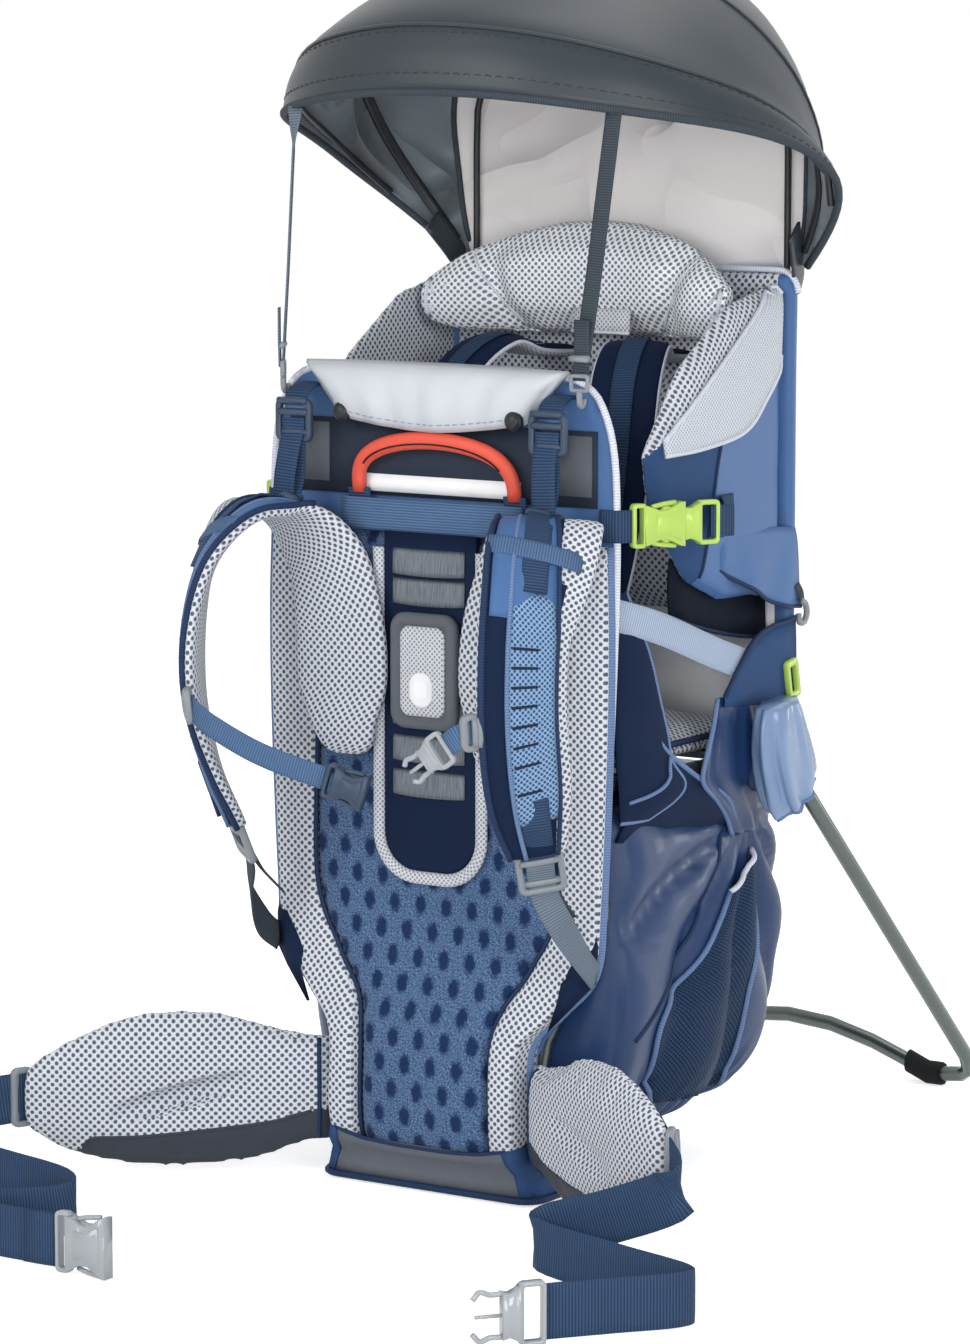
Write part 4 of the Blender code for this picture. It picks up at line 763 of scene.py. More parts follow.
def make_base():
    """Coated base with a piped edge, and a lip up the front of the padding with a band at each end."""
    half_x, centre_y, half_y, corner = 0.100, 0.050, 0.060, 0.016
    levels = ((0.0, 0.005), (0.0025, 0.0012), (0.010, 0.0), (0.018, 0.0004), (0.0215, 0.0030),
              (0.0225, 0.007))
    rows = [[(x, centre_y + y, z) for x, y in outline_rect(half_x - inset, half_y - inset, corner)]
            for z, inset in levels]
    base = solid("base", rows, M["deep_blue"])
    piece(box_uv(base), "pack", "base_cloth", "base_boot")
    rim = [(x, centre_y + y, 0.0045) for x, y in outline_rect(half_x + 0.0010, half_y + 0.0030, 0.018, 6)]
    trim("base_piping", rim, 0.0028, "navy_piping", loop=True)
    lines = [row for row in back_lines(10) if row[0] < 0.050]
    rows = []
    for share in (0.0, 0.25, 0.5, 0.75, 1.0):
        row = []
        for t in spread(32):
            z = 0.0070 + share * (0.030 + 0.010 * abs(t) ** 3)
            depth = next(deep for height, *_, deep in lines if height >= min(z, lines[-1][0]))
            bulge = (1 - abs(t) ** 6) ** (1 / 6)
            padded = PAD_BACK - max(depth, 0.020) * (0.35 + 0.65 * bulge) - 0.0016
            plain = centre_y - half_y * (0.62 + 0.38 * bulge) - 0.0014
            y = plain + (padded - plain) * min(share * 1.6, 1.0)
            row.append(((0.0985 - 0.0110 * share) * t, min(y, plain) if share < 0.5 else y, z))
        rows.append(row)
    sheet("base_lip", rows, 0.0024, "charcoal", "base_cloth", (0.20, 0.036), "stretched", ["centre_panel"])
    trim("base_lip_piping", rows[-1], 0.0016, "navy_piping")
    for word, columns in (("left", slice(0, 3)), ("right", slice(-3, None))):
        strip = [[Vector(point) for point in row[columns]] for row in rows]
        raised = [[point + normal * (-CLOTH if normal.y > 0 else CLOTH) for point, normal in zip(*pair)]
                  for pair in zip(strip, surface_normals(strip))]
        piece(cloth("base_band_" + word, raised, 0.0018, M["deep_blue"]), "pack", "blue_cloth")


def tongue(half, low, top, corner, steps=8):
    """Strip with a round lower end, from the upper right round to the upper left."""
    arc = [(half - corner + corner * cos(pi / 2 * k / steps), low + corner - corner * sin(pi / 2 * k / steps))
           for k in range(steps + 1)]
    right = [(half, top + (low + corner - top) * k / 10) for k in range(10)] + arc
    return right + [(-x, z) for x, z in reversed(right)]


RUNG_HEIGHTS = (0.323, 0.350, 0.378, 0.405, 0.432, 0.4725, 0.4955)


def make_adjuster():
    """Tongue panel with its padded rim, webbing rungs and the grip pad that hooks a rung."""
    back, front = -0.0003, -0.0053
    half = 0.0425
    shape = tongue(half, 0.2535, 0.517, 0.031)
    levels = ((back, 0.0), (front + 0.0008, 0.0), (front, 0.0010))
    rows = [[(x * (1 - inset / half), y, z + inset) for x, z in shape] for y, inset in levels]
    panel = box_uv(solid("tongue_panel", rows, M["navy"]))
    piece(panel, "pack", "navy_webbing", "adjuster_panel")
    rim = [(x, -0.0046, z) for x, z in tongue(0.0475, 0.2480, 0.505, 0.034, 12)]
    trim("tongue_rim", rim, 0.0052, "fine_mesh", "pack", "mesh", sides=12, flat=0.62, side=RIGHT)
    rungs = []
    for centre in RUNG_HEIGHTS:
        rows = []
        for t in spread(12):
            x, bow = 0.033 * t, 0.0018 * (1 - t ** 4)
            rows.append([(x, front - 0.0006, centre + 0.0098),
                         (x, front - 0.0014 - bow * 0.4, centre + 0.006),
                         (x, front - 0.0016 - bow, centre - 0.006),
                         (x, front - 0.0014 - bow * 1.2, centre - 0.0100 - 0.0012 * (1 - t * t)),
                         (x, front - 0.0002, centre - 0.0092)])
        rungs.append(box_uv(solid("rung", rows, M["rung"])))
    piece(join("rungs", rungs), "pack", "grey_webbing")
    edges = [stitches("bar", [(x, front - 0.0010, z + dz) for dz in (-0.007, 0.007)], TO_WEARER, M["thread"])
             for x in (-0.0305, 0.0305) for z in RUNG_HEIGHTS[:2] + RUNG_HEIGHTS[-2:]]
    piece(join("rung_bars", edges), "pack", "navy_webbing")
    band = web("top_band", [(0.083 * t / 10, -0.0022 - 0.0012 * cos(t / 10 * pi / 2), 0.5300)
                            for t in range(-10, 11)], UP, 0.025, 0.0035, M["blue_web"], bulge=0.25)
    piece(box_uv(band), "pack", "navy_webbing")
    make_grip(front - 0.0021)


def make_grip(back):
    """Pad with a dark frame and a mesh inset, which joins the shoulder straps."""
    middle = 0.4115
    levels = ((0.0285, 0.0), (0.0305, 0.0022), (0.0308, 0.0055), (0.0292, 0.0085), (0.0255, 0.0098),
              (0.0222, 0.0088), (0.0212, 0.0072))
    rows = []
    for half, out in levels:
        pairs = outline_rect(half, half + 0.0145, max(half - 0.018, 0.004), 5)
        rows.append([(x, back - out, middle + z) for x, z in pairs])
    frame_pad = solid("grip_frame", rows, M["charcoal"])
    piece(box_uv(frame_pad), "harness", "mesh", "adjuster_grip")
    rows = []
    for share, out in ((1.0, 0.0070), (0.97, 0.0084), (0.85, 0.0092), (0.5, 0.0097), (0.15, 0.0099)):
        pairs = outline_rect(0.0208 * share, 0.0353 * share, 0.008 * share, 5)
        rows.append([(x, back - out, middle + z) for x, z in pairs])
    piece(box_uv(solid("grip_inset", rows, M["fine_mesh"])), "harness", "mesh")
    patch = outline_rect(0.0105, 0.0135, 0.0095, 6)
    rows = [[(x * s, back - out, middle - 0.014 + z * s) for x, z in patch]
            for s, out in ((1.0, 0.0092), (1.0, 0.0102), (0.92, 0.0106), (0.5, 0.0108))]
    piece(solid("grip_patch", rows, M["white"]), "harness", "mesh")


def plate_outline(inset=0.0):
    """Outline of the stiff back plate with round upper corners."""
    knots = ((0.085, 0.0245), (0.0875, 0.070), (0.088, 0.115), (0.112, 0.148), (0.137, 0.178),
             (0.1465, 0.240), (0.150, 0.300), (0.1545, 0.390), (0.158, 0.480), (0.1582, 0.540),
             (0.156, 0.582), (0.149, 0.612), (0.136, 0.632), (0.112, 0.641), (0.060, 0.6425))
    right = [(x - inset, z - (inset if z > 0.62 else 0)) for x, z in curve(knots, 3)]
    return right + [(-x, z) for x, z in reversed(right)]


def make_plate():
    """Cloth-covered back plate with its piping, and the bare panel and patches on it."""
    levels = ((0.0124, 0.0012), (0.0130, 0.0), (0.0152, 0.0), (0.0158, 0.0012))
    rows = [[(x, y, z) for x, z in plate_outline(inset)] for y, inset in levels]
    cover = box_uv(solid("plate_cover", rows, M["blue"]))
    piece(cover, "pack", "plate", "back_plate")
    hem = [(x, 0.0125, z) for x, z in plate_outline(-0.0006) if z > 0.19]
    trim("plate_piping", hem, 0.0028, "pale_piping", "pack", "silver_cloth")

    def bowed(half, low, high, y, bow):
        return [[(half * (k / 8 - 1), y - bow * (1 - (k / 8 - 1) ** 4), z) for k in range(17)]
                for z in (low, (low + high) / 2, high)]

    thin = 0.0008
    sheet("bare_panel", bowed(0.142, 0.5435, 0.6020, 0.0112, 0.0010), thin, "bare", "plate", (0.284, 0.0585),
          "laid", ["plate_cover"])
    sheet("bare_strip", bowed(0.074, 0.5465, 0.5600, 0.0098, 0.0010), thin, "white", "silver_cloth",
          (0.148, 0.0135), "laid", ["bare_panel"])
    for word, side in SIDES:
        rows = [[(side * x, 0.0098, z) for x in (0.104, 0.120, 0.138)] for z in (0.552, 0.575, 0.598)]
        sheet("bare_patch_" + word, rows, thin, "charcoal", "plate", (0.034, 0.046), "laid",
              ["bare_panel"])


def make_drool_pad():
    """Silver pad over the top edge, pulled in at its snaps."""
    profile = ((0.0, -0.0010), (0.0, 0.0060), (0.10, 0.0100), (0.35, 0.0128), (0.62, 0.0132), (0.82, 0.0104),
               (0.94, 0.0050), (1.0, -0.0040), (0.97, -0.0108), (0.60, -0.0112), (0.25, -0.0112))
    rows = []
    for t in spread(48):
        ring = []
        low = 0.5985 - 0.0030 * cos(t * pi) + 0.004 * abs(t) ** 6
        top = 0.6495 - 0.0020 * t * t
        fold = 0.0016 * sin(t * 9.0 + 0.6) + 0.0010 * sin(t * 21.0)
        for rise, out in profile:
            half = 0.087 + 0.035 * rise ** 1.3 - 0.0022 * sin(pi * rise)
            edge = (1 - abs(t) ** 8) ** 0.5
            wrinkle = fold * max(out, 0.0) / 0.0130 * (1.2 - rise)
            lift = out if out < 0 else out * (0.35 + 0.65 * edge)
            ring.append((half * t, -lift - wrinkle, low + (top - low) * rise))
        rows.append(ring)
    pad = solid("drool_cover", rows, M["silver"])
    relax(pad, 1, 0.3)
    piece(pad, "pack", "silver_cloth", "drool_pad")
    seam = [(0.087 * t, -0.0066, 0.6050 - 0.0030 * cos(t * pi) + 0.004 * abs(t) ** 6)
            for t in spread(30)[1:-1]]
    target = tree_of(pad)
    piece(stitches("drool_stitches", drape(target, seam, REAR, 0.0003), TO_WEARER, M["pale_thread"]),
          "pack", "silver_cloth")
    profile = ((0.0076, -0.0020), (0.0080, 0.0008), (0.0074, 0.0022), (0.0066, 0.0024), (0.0062, 0.0036),
               (0.0044, 0.0048), (0.0008, 0.0054))
    spots = drape(target, [(-0.0800, 0, 0.6085), (0.0800, 0, 0.6085)], REAR, 0.0)
    buttons = [disc("snap", spot, TO_WEARER, profile, M["rod"]) for spot in spots]
    piece(join("drool_snaps", buttons), "pack", "plastic")


def make_handle():
    """Red carry handle with a flattened grip and sewn feet."""
    route = []
    radii = []
    for k in range(41):
        turn = pi * k / 40
        rise = max(sin(turn), 0.0) ** 0.6 if 0 < k < 40 else 0.0
        route.append((0.072 * cos(turn), 0.0049 - 0.006 * rise, 0.546 + 0.043 * rise))
        radii.append(0.0070 - 0.0010 * abs(cos(turn)) ** 6)
    grip = tube("handle_grip", route, radii, M["red"], sides=14, flat=0.72, side=RIGHT)
    piece(grip, "handle", "handle", "carry_handle")
    line = [(x * 0.945, y - 0.0052, 0.546 + (z - 0.546) * 0.945) for x, y, z in route[5:-5]]
    trim("handle_seam", line, 0.0007, "rubber", "handle", "handle", sides=6)
    for word, side in SIDES:
        foot = mirrored(side, ((0.072, 0.0040, 0.549), (0.072, 0.0060, 0.540), (0.0715, 0.0085, 0.526)))
        webbing("handle_tab_" + word, foot, RIGHT, 0.020, "web", "pack", thickness=0.003)


# Webbing hardware

def ladder_lock(name, centre, along, over, length, width, mat):
    """Ladder lock with a rounded frame and two more bars; along the web, over its face."""
    centre, along, over = Vector(centre), Vector(along).normalized(), Vector(over).normalized()
    across = over.cross(along).normalized()
    over = along.cross(across)
    outer = outline_rect(length / 2, width / 2, 0.0060, 4)
    inner = outline_rect(length / 2 - 0.0050, width / 2 - 0.0050, 0.0024, 4)
    parts = [plate("frame", outer, 0.0058, centre, along, across, mat, inner, 0.0012)]
    half = width / 2 - 0.0035
    for share, lift, radius in ((0.06, 0.0016, 0.0030), (0.52, -0.0002, 0.0028)):
        middle = centre + along * (length * (share - 0.25)) + over * lift
        bow = [middle + across * (half * t) + over * (0.0012 * (1 - t * t)) for t in (-1, -0.5, 0, 0.5, 1)]
        parts.append(tube("bar", bow, radius, mat, sides=8, flat=0.8, side=along))
    edge = centre - along * (length / 2 - 0.0016)
    lip = [edge + across * (half * t) + over * (0.0026 + 0.0010 * (1 - t * t)) for t in (-1, -0.5, 0, 0.5, 1)]
    parts.append(tube("lip", lip, 0.0026, mat, sides=8, side=along))
    return join(name, parts)


STRAP_BASE_Y = -0.0144
STRAP_ROUTE = ((0.0750, STRAP_BASE_Y, 0.366, 0, 0.060), (0.0755, STRAP_BASE_Y, 0.400, 0, 0.083),
               (0.0785, STRAP_BASE_Y, 0.450, 0, 0.081), (0.0930, STRAP_BASE_Y, 0.498, 3, 0.074),
               (0.1170, -0.0290, 0.528, 14, 0.070), (0.1340, -0.0580, 0.532, 34, 0.070),
               (0.1460, -0.0890, 0.500, 52, 0.073), (0.1500, -0.1050, 0.450, 60, 0.075),
               (0.1500, -0.1060, 0.395, 60, 0.074), (0.1460, -0.0900, 0.338, 52, 0.066),
               (0.1410, -0.0700, 0.292, 40, 0.044))
STRAP_STEPS = 8


def strap_line(side):
    """Points, width directions, outward normals and widths along a shoulder strap."""
    rows = curve(STRAP_ROUTE, STRAP_STEPS)
    points = [Vector((side * row[0], row[1], row[2])) for row in rows]
    acrosses = [Vector((side * cos(radians(row[3])), sin(radians(row[3])), 0)) for row in rows]
    return [(point, across, normal * side, row[4])
            for (point, across, normal), row in zip(frames(points, acrosses), rows)]


def on_strap(station, across, out):
    """Point at a share of a strap's half width and a height over its middle."""
    point, side, normal, width = station
    return point + side * (width / 2 * across) + normal * out


def mesh_edge(index):
    """Share of a strap's half width at which its outer mesh edge starts, by station."""
    return 0.20 + 0.44 * min(max((index - 3.6 * STRAP_STEPS) / (3.2 * STRAP_STEPS), 0), 1)


def strap_layer(name, line, first, last, low, lift, mat, taper, count=8, dome=0.0008):
    """Cloth layer on the outer face of a strap, out to its mesh edge; it narrows at the upper end."""
    rows = []
    for i in range(first, last):
        fade = min(i - first, last - 1 - i, 2) / 2
        narrow = (1 - (i - first) / (last - 1 - first)) ** 6
        start, end = low + taper * narrow, mesh_edge(i) - taper * narrow
        shares = [start + (end - start) * k / count for k in range(count + 1)]
        rows.append([on_strap(line[i], s, 0.0065 * (1 - abs(s) ** 5) ** 0.4 + lift * (0.4 + 0.6 * fade)
                              + dome * sin(pi * k / count))
                     for k, s in enumerate(shares)])
    return cloth(name, rows, 0.0014, mat)


def make_shoulder(word, side):
    """Padded strap with a mesh lining, a navy outer face, a blue cap and a sewn mesh panel."""
    line = strap_line(side)
    ring = whole_crown(14, 3.2)
    first, across, normal, width = line[0]
    lead = [(first + Vector((-side * 0.20 * drop, 0, -drop)), across, normal, share * width)
            for drop, share in ((0.0240, 0.16), (0.0236, 0.36), (0.0215, 0.58), (0.0165, 0.78),
                                (0.0085, 0.92))]
    rows = []
    for i, station in enumerate(lead + line):
        flare = 1 + 0.36 * max(0.0, 1 - ((i - len(lead) - 4.9 * STRAP_STEPS) / (2.0 * STRAP_STEPS)) ** 2)
        rows.append([on_strap(station, a * (flare if a > 0 else 1), 0.0064 * o * min(station[3] / 0.03, 1))
                     for a, o in ring])
    start = len(lead) + 3 * STRAP_STEPS

    def finish_of(i, j):
        share = ring[j][0]
        return 1 if i >= start and j <= 12 and share < mesh_edge(i - len(lead)) + 0.08 else 0

    pad = solid("shoulder_pad_" + word, rows, [M["mesh"], M["navy"]], pick=finish_of)
    piece(pad, "harness", "mesh", "shoulder_strap_" + word)
    start = 3 * STRAP_STEPS
    seam = 6 * STRAP_STEPS
    for name, span, low, lift, mat, taper, flat in (
            ("strap_cap_", (start + 4, seam + 6), -0.86, 0.0006, "blue", 0.30, (0.062, 0.105)),
            ("strap_panel_", (seam + 2, len(line) - 5), -0.42, 0.0012, "steel_mesh", 0.08, (0.042, 0.195))):
        layer = strap_layer(name + word, line, *span, low, lift, M[mat], taper)
        piece(layer, "harness", "mesh")
    for label, share, mat, radius in (("inner", -0.44, "piping", 0.0018),
                                      ("outer", None, "navy_piping", 0.0018),
                                      ("rim", -0.97, "navy_piping", 0.0026)):
        route = []
        for i in range(start + 6, len(line)):
            across = mesh_edge(i) + 0.03 if share is None else share
            route.append(on_strap(line[i], across, 0.0066 * (1 - abs(across) ** 5) ** 0.4 + 0.0012))
        trim(f"strap_{label}_piping_{word}", route, radius, mat, "harness", "mesh")
    bars = []
    for k in range(8):
        station = line[int((7.0 + 0.27 * k) * STRAP_STEPS)]
        route = [on_strap(station, -0.34 + 0.56 * t, 0.0092) for t in (0, 0.25, 0.5, 0.75, 1)]
        bars.append(tube("bar", route, 0.0011, M["thread"], sides=6))
    piece(join("strap_bars_" + word, bars), "harness", "navy_webbing")
    keeper = line[5 * STRAP_STEPS + 5]
    shares = (-1.0, -0.7, -0.3, 0, 0.3, 0.7, 1.0)
    route = [on_strap(keeper, t, 0.0096 - 0.0045 * abs(t) ** 4) for t in shares]
    way = keeper[1].cross(keeper[2])
    webbing("strap_keeper_" + word, route, way, 0.016, "blue_web", "harness", thickness=0.0024)
    make_strap_end(word, side, line)


def bridge(obj, bodies, start, end, *nodes):
    """Bake a strap's placement into its mesh and stand for CAD nodes."""
    if nodes:
        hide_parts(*nodes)
    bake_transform(obj)


def make_strap_end(word, side, line):
    """Ladder lock on a shoulder strap's end, its tab and the web down to the back pad."""
    end, before = line[-1], line[-2]
    way = (end[0] - before[0]).normalized()
    tab = [on_strap(line[-9], 0, 0.0080), on_strap(line[-5], 0, 0.0080),
           end[0] + way * 0.002 + end[2] * 0.003, end[0] + way * 0.009]
    webbing("strap_tab_" + word, tab, end[1], 0.024, "web", "harness", thickness=0.0024)
    lock = ladder_lock("strap_lock_" + word, end[0] + way * 0.0153, way, end[2], 0.042, 0.0370,
                       M["grey_plastic"])
    piece(lock, "harness", "plastic", "ladder_lock_" + word)
    start = end[0] + way * 0.0306
    foot = Vector((side * 0.1478, 0.0020, 0.185))
    flat = Vector((0, 0.6, 0.8))
    near = foot + Vector((side * 0.0022, -0.020, 0.015))
    half_turned = end[1].lerp(flat, 0.4)
    rows = curve([(*(start - way * 0.022 + end[2] * 0.003), *end[1]), (*(start + way * 0.008), *end[1]),
                  (side * 0.145, -0.042, 0.230, *half_turned), (*near, *flat), (*foot, *flat)], 7)
    points, acrosses = [Vector(row[:3]) for row in rows], [Vector(row[3:]) for row in rows]
    lower = web("lower_web_" + word, points, acrosses, SHOULDER_WEB, THIN_WEB,
                M["ash_web" if side > 0 else "dark_web"])
    bridge(lower, ("harness", "pack"), start + way * 0.004, near, "lower_strap_" + word)
    tail = [start - way * 0.018 - end[2] * 0.001, start - way * 0.004 - end[2] * 0.003,
            start + way * 0.020 - end[2] * 0.007 + end[1] * 0.004,
            start + way * 0.045 - end[2] * 0.016 + end[1] * 0.012]
    webbing("lower_tail_" + word, curve(tail, 5), end[1], TAIL_WEB, "dark_web", "harness", thickness=THIN_WEB)
    wing = [mirrored(side, row) for row in (
        ((0.1475, 0.004, 0.222), (0.1495, 0.002, 0.206), (0.1485, 0.001, 0.180)),
        ((0.137, -0.0010, 0.205), (0.138, -0.0045, 0.188), (0.136, -0.0045, 0.166)),
        ((0.121, -0.0030, 0.180), (0.121, -0.0100, 0.165), (0.112, -0.0110, 0.140)))]
    sheet("strap_wing_" + word, wing, 0.0026, "navy", "navy_webbing", (0.045, 0.060), "stretched",
          ["side_panel_" + word])


def make_load_lifter(word, side):
    """Ladder lock on the plate's corner and the web down to the shoulder strap."""
    x = side * 0.117
    anchor = curve([(x, 0.0117, 0.6265), (x, 0.002, 0.6285), (x, -0.012, 0.6235), (x, -0.0195, 0.6130)], 4)
    webbing("load_anchor_" + word, anchor, RIGHT, SHOULDER_WEB, "web", "pack")
    lock = ladder_lock("load_lifter_lock_" + word, (x, -0.019, 0.601), (0, 0, -1), TO_WEARER, 0.034, 0.0335,
                       M["plastic"])
    piece(lock, "pack", "plastic", "load_lock_" + word)
    line = strap_line(side)[4 * STRAP_STEPS:]
    station = line[0]
    foot = station[0] + Vector((0, 0, 0.0115))
    route = curve([(x, -0.0205, 0.6030), (x, -0.0195, 0.5770), (x, -0.0210, 0.556), tuple(foot)], 5)
    lifter = web("load_web_" + word, route, RIGHT, SHOULDER_WEB, WEB_THICK, M["web"])
    span = (x, -0.0195, 0.585), (x, -0.024, 0.542)
    bridge(lifter, ("pack", "harness"), *span, "load_strap_" + word)
    tail = curve([(x, -0.0170, 0.5980), (x, -0.0245, 0.5830), (x + side * 0.002, -0.0290, 0.5600),
                  (x + side * 0.003, -0.0300, 0.5400)], 5)
    end = web("load_tail_" + word, tail, Vector((1, 0.05 * side, 0)), TAIL_WEB, THIN_WEB, M["web"])
    bridge(end, ("pack", "harness"), *span)
    front = [on_strap(place, 0.02, 0.0095) for place in line[:19:3]]
    webbing("load_foot_" + word, front, station[1], TAIL_WEB, "web", "harness")
    ring = ladder_lock("load_ring_" + word, on_strap(line[1], 0.02, 0.0105), line[2][0] - station[0],
                       station[2], 0.016, 0.030, M["plastic"])
    piece(ring, "harness", "plastic")


# Release buckles: length, width and thickness of each half

CHEST_BUCKLE = (0.034, 0.028, 0.010)
HIP_BUCKLE = (0.046, 0.046, 0.013)
ENTRY_BUCKLE = (0.045, 0.034, 0.012)
BUCKLE_GAP = 0.0003
PLUG_BODY = 0.70


def buckle_socket(name, start, way, over, length, width, thickness, mat):
    """Socket half: web slot, waisted body with side windows and a mouth."""
    start, way = Vector(start), Vector(way).normalized()
    across = Vector(over).cross(way).normalized()
    h = width / 2
    slot_end = length * 0.26
    outer = outline_rect(slot_end / 2, h, 0.0030, 3)
    inner = outline_rect(slot_end / 2 - 0.0026, h - 0.0034, 0.0012, 3)
    parts = [plate("slot", outer, thickness * 0.62, start + way * (slot_end / 2), way, across, mat, inner)]
    half = [(slot_end - 0.002, h * 0.92), (length * 0.36, h * 0.80), (length * 0.50, h * 0.66),
            (length * 0.66, h * 0.66), (length * 0.80, h * 0.82), (length * 0.92, h * 0.98), (length, h)]
    outline = half + [(x, -y) for x, y in reversed(half)]
    parts.append(plate("body", outline, thickness * 0.94, start, way, across, mat))
    for side in (-1, 1):
        arm = [(length * 0.40, h * 0.80), (length * 0.60, h * 0.90), (length * 0.86, h * 0.97)]
        route = [start + way * x + across * (side * y) for x, y in arm]
        parts.append(tube("arm", curve(route, 3), 0.0020, mat, sides=8))
    cover = [(length * 0.42, h * 0.50), (length * 0.62, h * 0.42), (length * 0.90, h * 0.70)]
    outline = cover + [(x, -y) for x, y in reversed(cover)]
    normal = way.cross(across)
    for lift in (-1, 1):
        place = start + normal * (lift * thickness * 0.47)
        parts.append(plate("cover", outline, 0.0016, place, way, across, mat))
    return join(name, parts)


def buckle_plug(name, start, way, over, length, width, thickness, mat):
    """Plug half: web bar, waisted body and two sprung prongs into the socket."""
    start, way = Vector(start), Vector(way).normalized()
    across = Vector(over).cross(way).normalized()
    h = width / 2
    body = length * PLUG_BODY
    outer = outline_rect(body * 0.30, h, 0.0035, 3)
    inner = outline_rect(body * 0.30 - 0.0030, h - 0.0036, 0.0014, 3)
    parts = [plate("slot", outer, thickness * 0.62, start + way * (body * 0.70), way, across, mat, inner)]
    half = [(0.0, h * 0.74), (body * 0.16, h * 0.68), (body * 0.34, h * 0.80), (body * 0.44, h * 0.94)]
    outline = half + [(x, -y) for x, y in reversed(half)]
    parts.append(plate("body", outline, thickness * 0.80, start, way, across, mat))
    inside = h - 0.0035
    for side in (-1, 1):
        prong = [(0.002, inside * 0.80), (-length * 0.18, inside * 0.78), (-length * 0.34, inside * 0.90),
                 (-length * 0.46, inside * 0.62)]
        route = [start + way * x + across * (side * y) for x, y in prong]
        parts.append(tube("prong", curve(route, 4), 0.0021, mat, sides=8))
    guide = [start + way * x for x in (0.002, -length * 0.22, -length * 0.42)]
    parts.append(tube("guide", guide, 0.0018, mat, sides=8, flat=0.8))
    return join(name, parts)


def buckle_half(word, names, end, way, over, size, mat, body):
    """Socket on the end of the left strap, or plug on the end of the right one, for its CAD node."""
    if word == "left":
        half = buckle_socket(names[0] + "_socket", end + way * BUCKLE_GAP, way, over, *size, M[mat])
        piece(half, body, mat, names[1] + "_socket")
    else:
        start = end + way * (size[0] * PLUG_BODY + BUCKLE_GAP)
        half = buckle_plug(names[0] + "_plug", start, -way, over, *size, M[mat])
        piece(half, body, mat, names[1] + "_plug")


def make_sternum(word, side):
    """Chest strap half with its slider and half of its buckle."""
    body = "sternum_" + word
    point, across, normal, width = strap_line(side)[8 * STRAP_STEPS]
    edge = point - across * (width / 2 + 0.0008)
    steps = {"left": ((0.026, -0.012, -0.012), (0.070, -0.007, -0.032), (0.122, 0.005, -0.048)),
             "right": ((-0.010, -0.010, -0.004), (-0.018, -0.011, -0.010))}[word]
    route = [edge, edge - across * 0.006] + [edge + Vector(step) for step in steps]
    webbing("chest_web_" + word, curve(route, 6), UP, CHEST_WEB, "blue_web", body, "sternum_strap_" + word,
            thickness=THIN_WEB)
    place = edge - across * 0.004 - Vector((0, 0.0016, 0))
    slider = ladder_lock("chest_slider_" + word, place, -across, normal, 0.016, 0.029, M["grey_plastic"])
    piece(slider, body, "plastic")
    way = (route[-1] - route[-2]).normalized()
    over = UP.cross(way)
    mat = "plastic" if word == "left" else "pale_plastic"
    buckle_half(word, ("chest", "sternum"), route[-1], way, over, CHEST_BUCKLE, mat, body)


# Hip belt

HIP_TURN = radians(35)
BELT_ROUTES = {
    "left": ((-0.345, -0.190, 0.054), (-0.318, -0.236, 0.045), (-0.230, -0.268, 0.040),
             (-0.142, -0.284, 0.036), (-0.128, -0.306, 0.030), (-0.180, -0.332, 0.024),
             (-0.198, -0.352, 0.0235), (-0.150, -0.359, 0.0235), (-0.092, -0.359, 0.0235)),
    "right": ((0.322, -0.168, 0.076), (0.270, -0.172, 0.052), (0.222, -0.178, 0.036),
              (0.222, -0.194, 0.028), (0.300, -0.210, 0.024), (0.370, -0.230, 0.0235),
              (0.376, -0.252, 0.0235), (0.346, -0.290, 0.0235), (0.314, -0.330, 0.0235)),
}
FIN_STATIONS = ((0.0, 0.0245, 0.116), (0.012, 0.0245, 0.116), (0.045, 0.012, 0.124),
                (0.090, 0.004, 0.136), (0.150, 0.004, 0.134), (0.205, 0.016, 0.112), (0.240, 0.036, 0.090))
FIN_LIFT = {"left": 0.0, "right": 0.028}
FIN_GROOVE = {"left": 0.0135, "right": 0.0050}
FIN_TRIM = {"left": 0.185, "right": 0.120}
FIN_HINGE = (0.1003, -0.003)
FIN_LENGTH = 0.240
FIN_ROWS = curve(FIN_STATIONS, 8)


def fin_axes(side):
    """Hinge of a hip fin, its direction away from the hinge and the direction to the wearer."""
    return (Vector((side * FIN_HINGE[0], FIN_HINGE[1], 0)), Vector((side * cos(HIP_TURN), -sin(HIP_TURN), 0)),
            Vector((-side * sin(HIP_TURN), -cos(HIP_TURN), 0)))


def fin_edges(word, s):
    """Lower edge, upper edge and lift of a hip fin at a distance from its hinge."""
    row = min(FIN_ROWS, key=lambda r: abs(r[0] - s))
    return row[1], row[2], FIN_LIFT[word] * max(s / FIN_LENGTH, 0) ** 2


def fin_point(word, side, s, share, out):
    """Point on a hip fin: distance from the hinge, share of its height and distance to the wearer."""
    hinge, way, inward = fin_axes(side)
    low, high, lift = fin_edges(word, s)
    return hinge + way * s + inward * out + UP * (low + (high - low) * share + lift)


def fin_place(word, side, point):
    """Distance of a point from a fin's hinge and its share of the fin's height there."""
    hinge, way, _ = fin_axes(side)
    s = (Vector(point) - hinge).dot(way)
    low, high, lift = fin_edges(word, s)
    return s, (point[2] - low - lift) / (high - low)


def trim_top(word, s):
    """Share of a fin's height up to which its lower trim reaches."""
    reach = FIN_TRIM[word]
    slope = 0.33 - 0.12 * max(s, 0) / reach
    return min(slope, max((reach + 0.020 - s) / 0.020, 0) * 0.22)


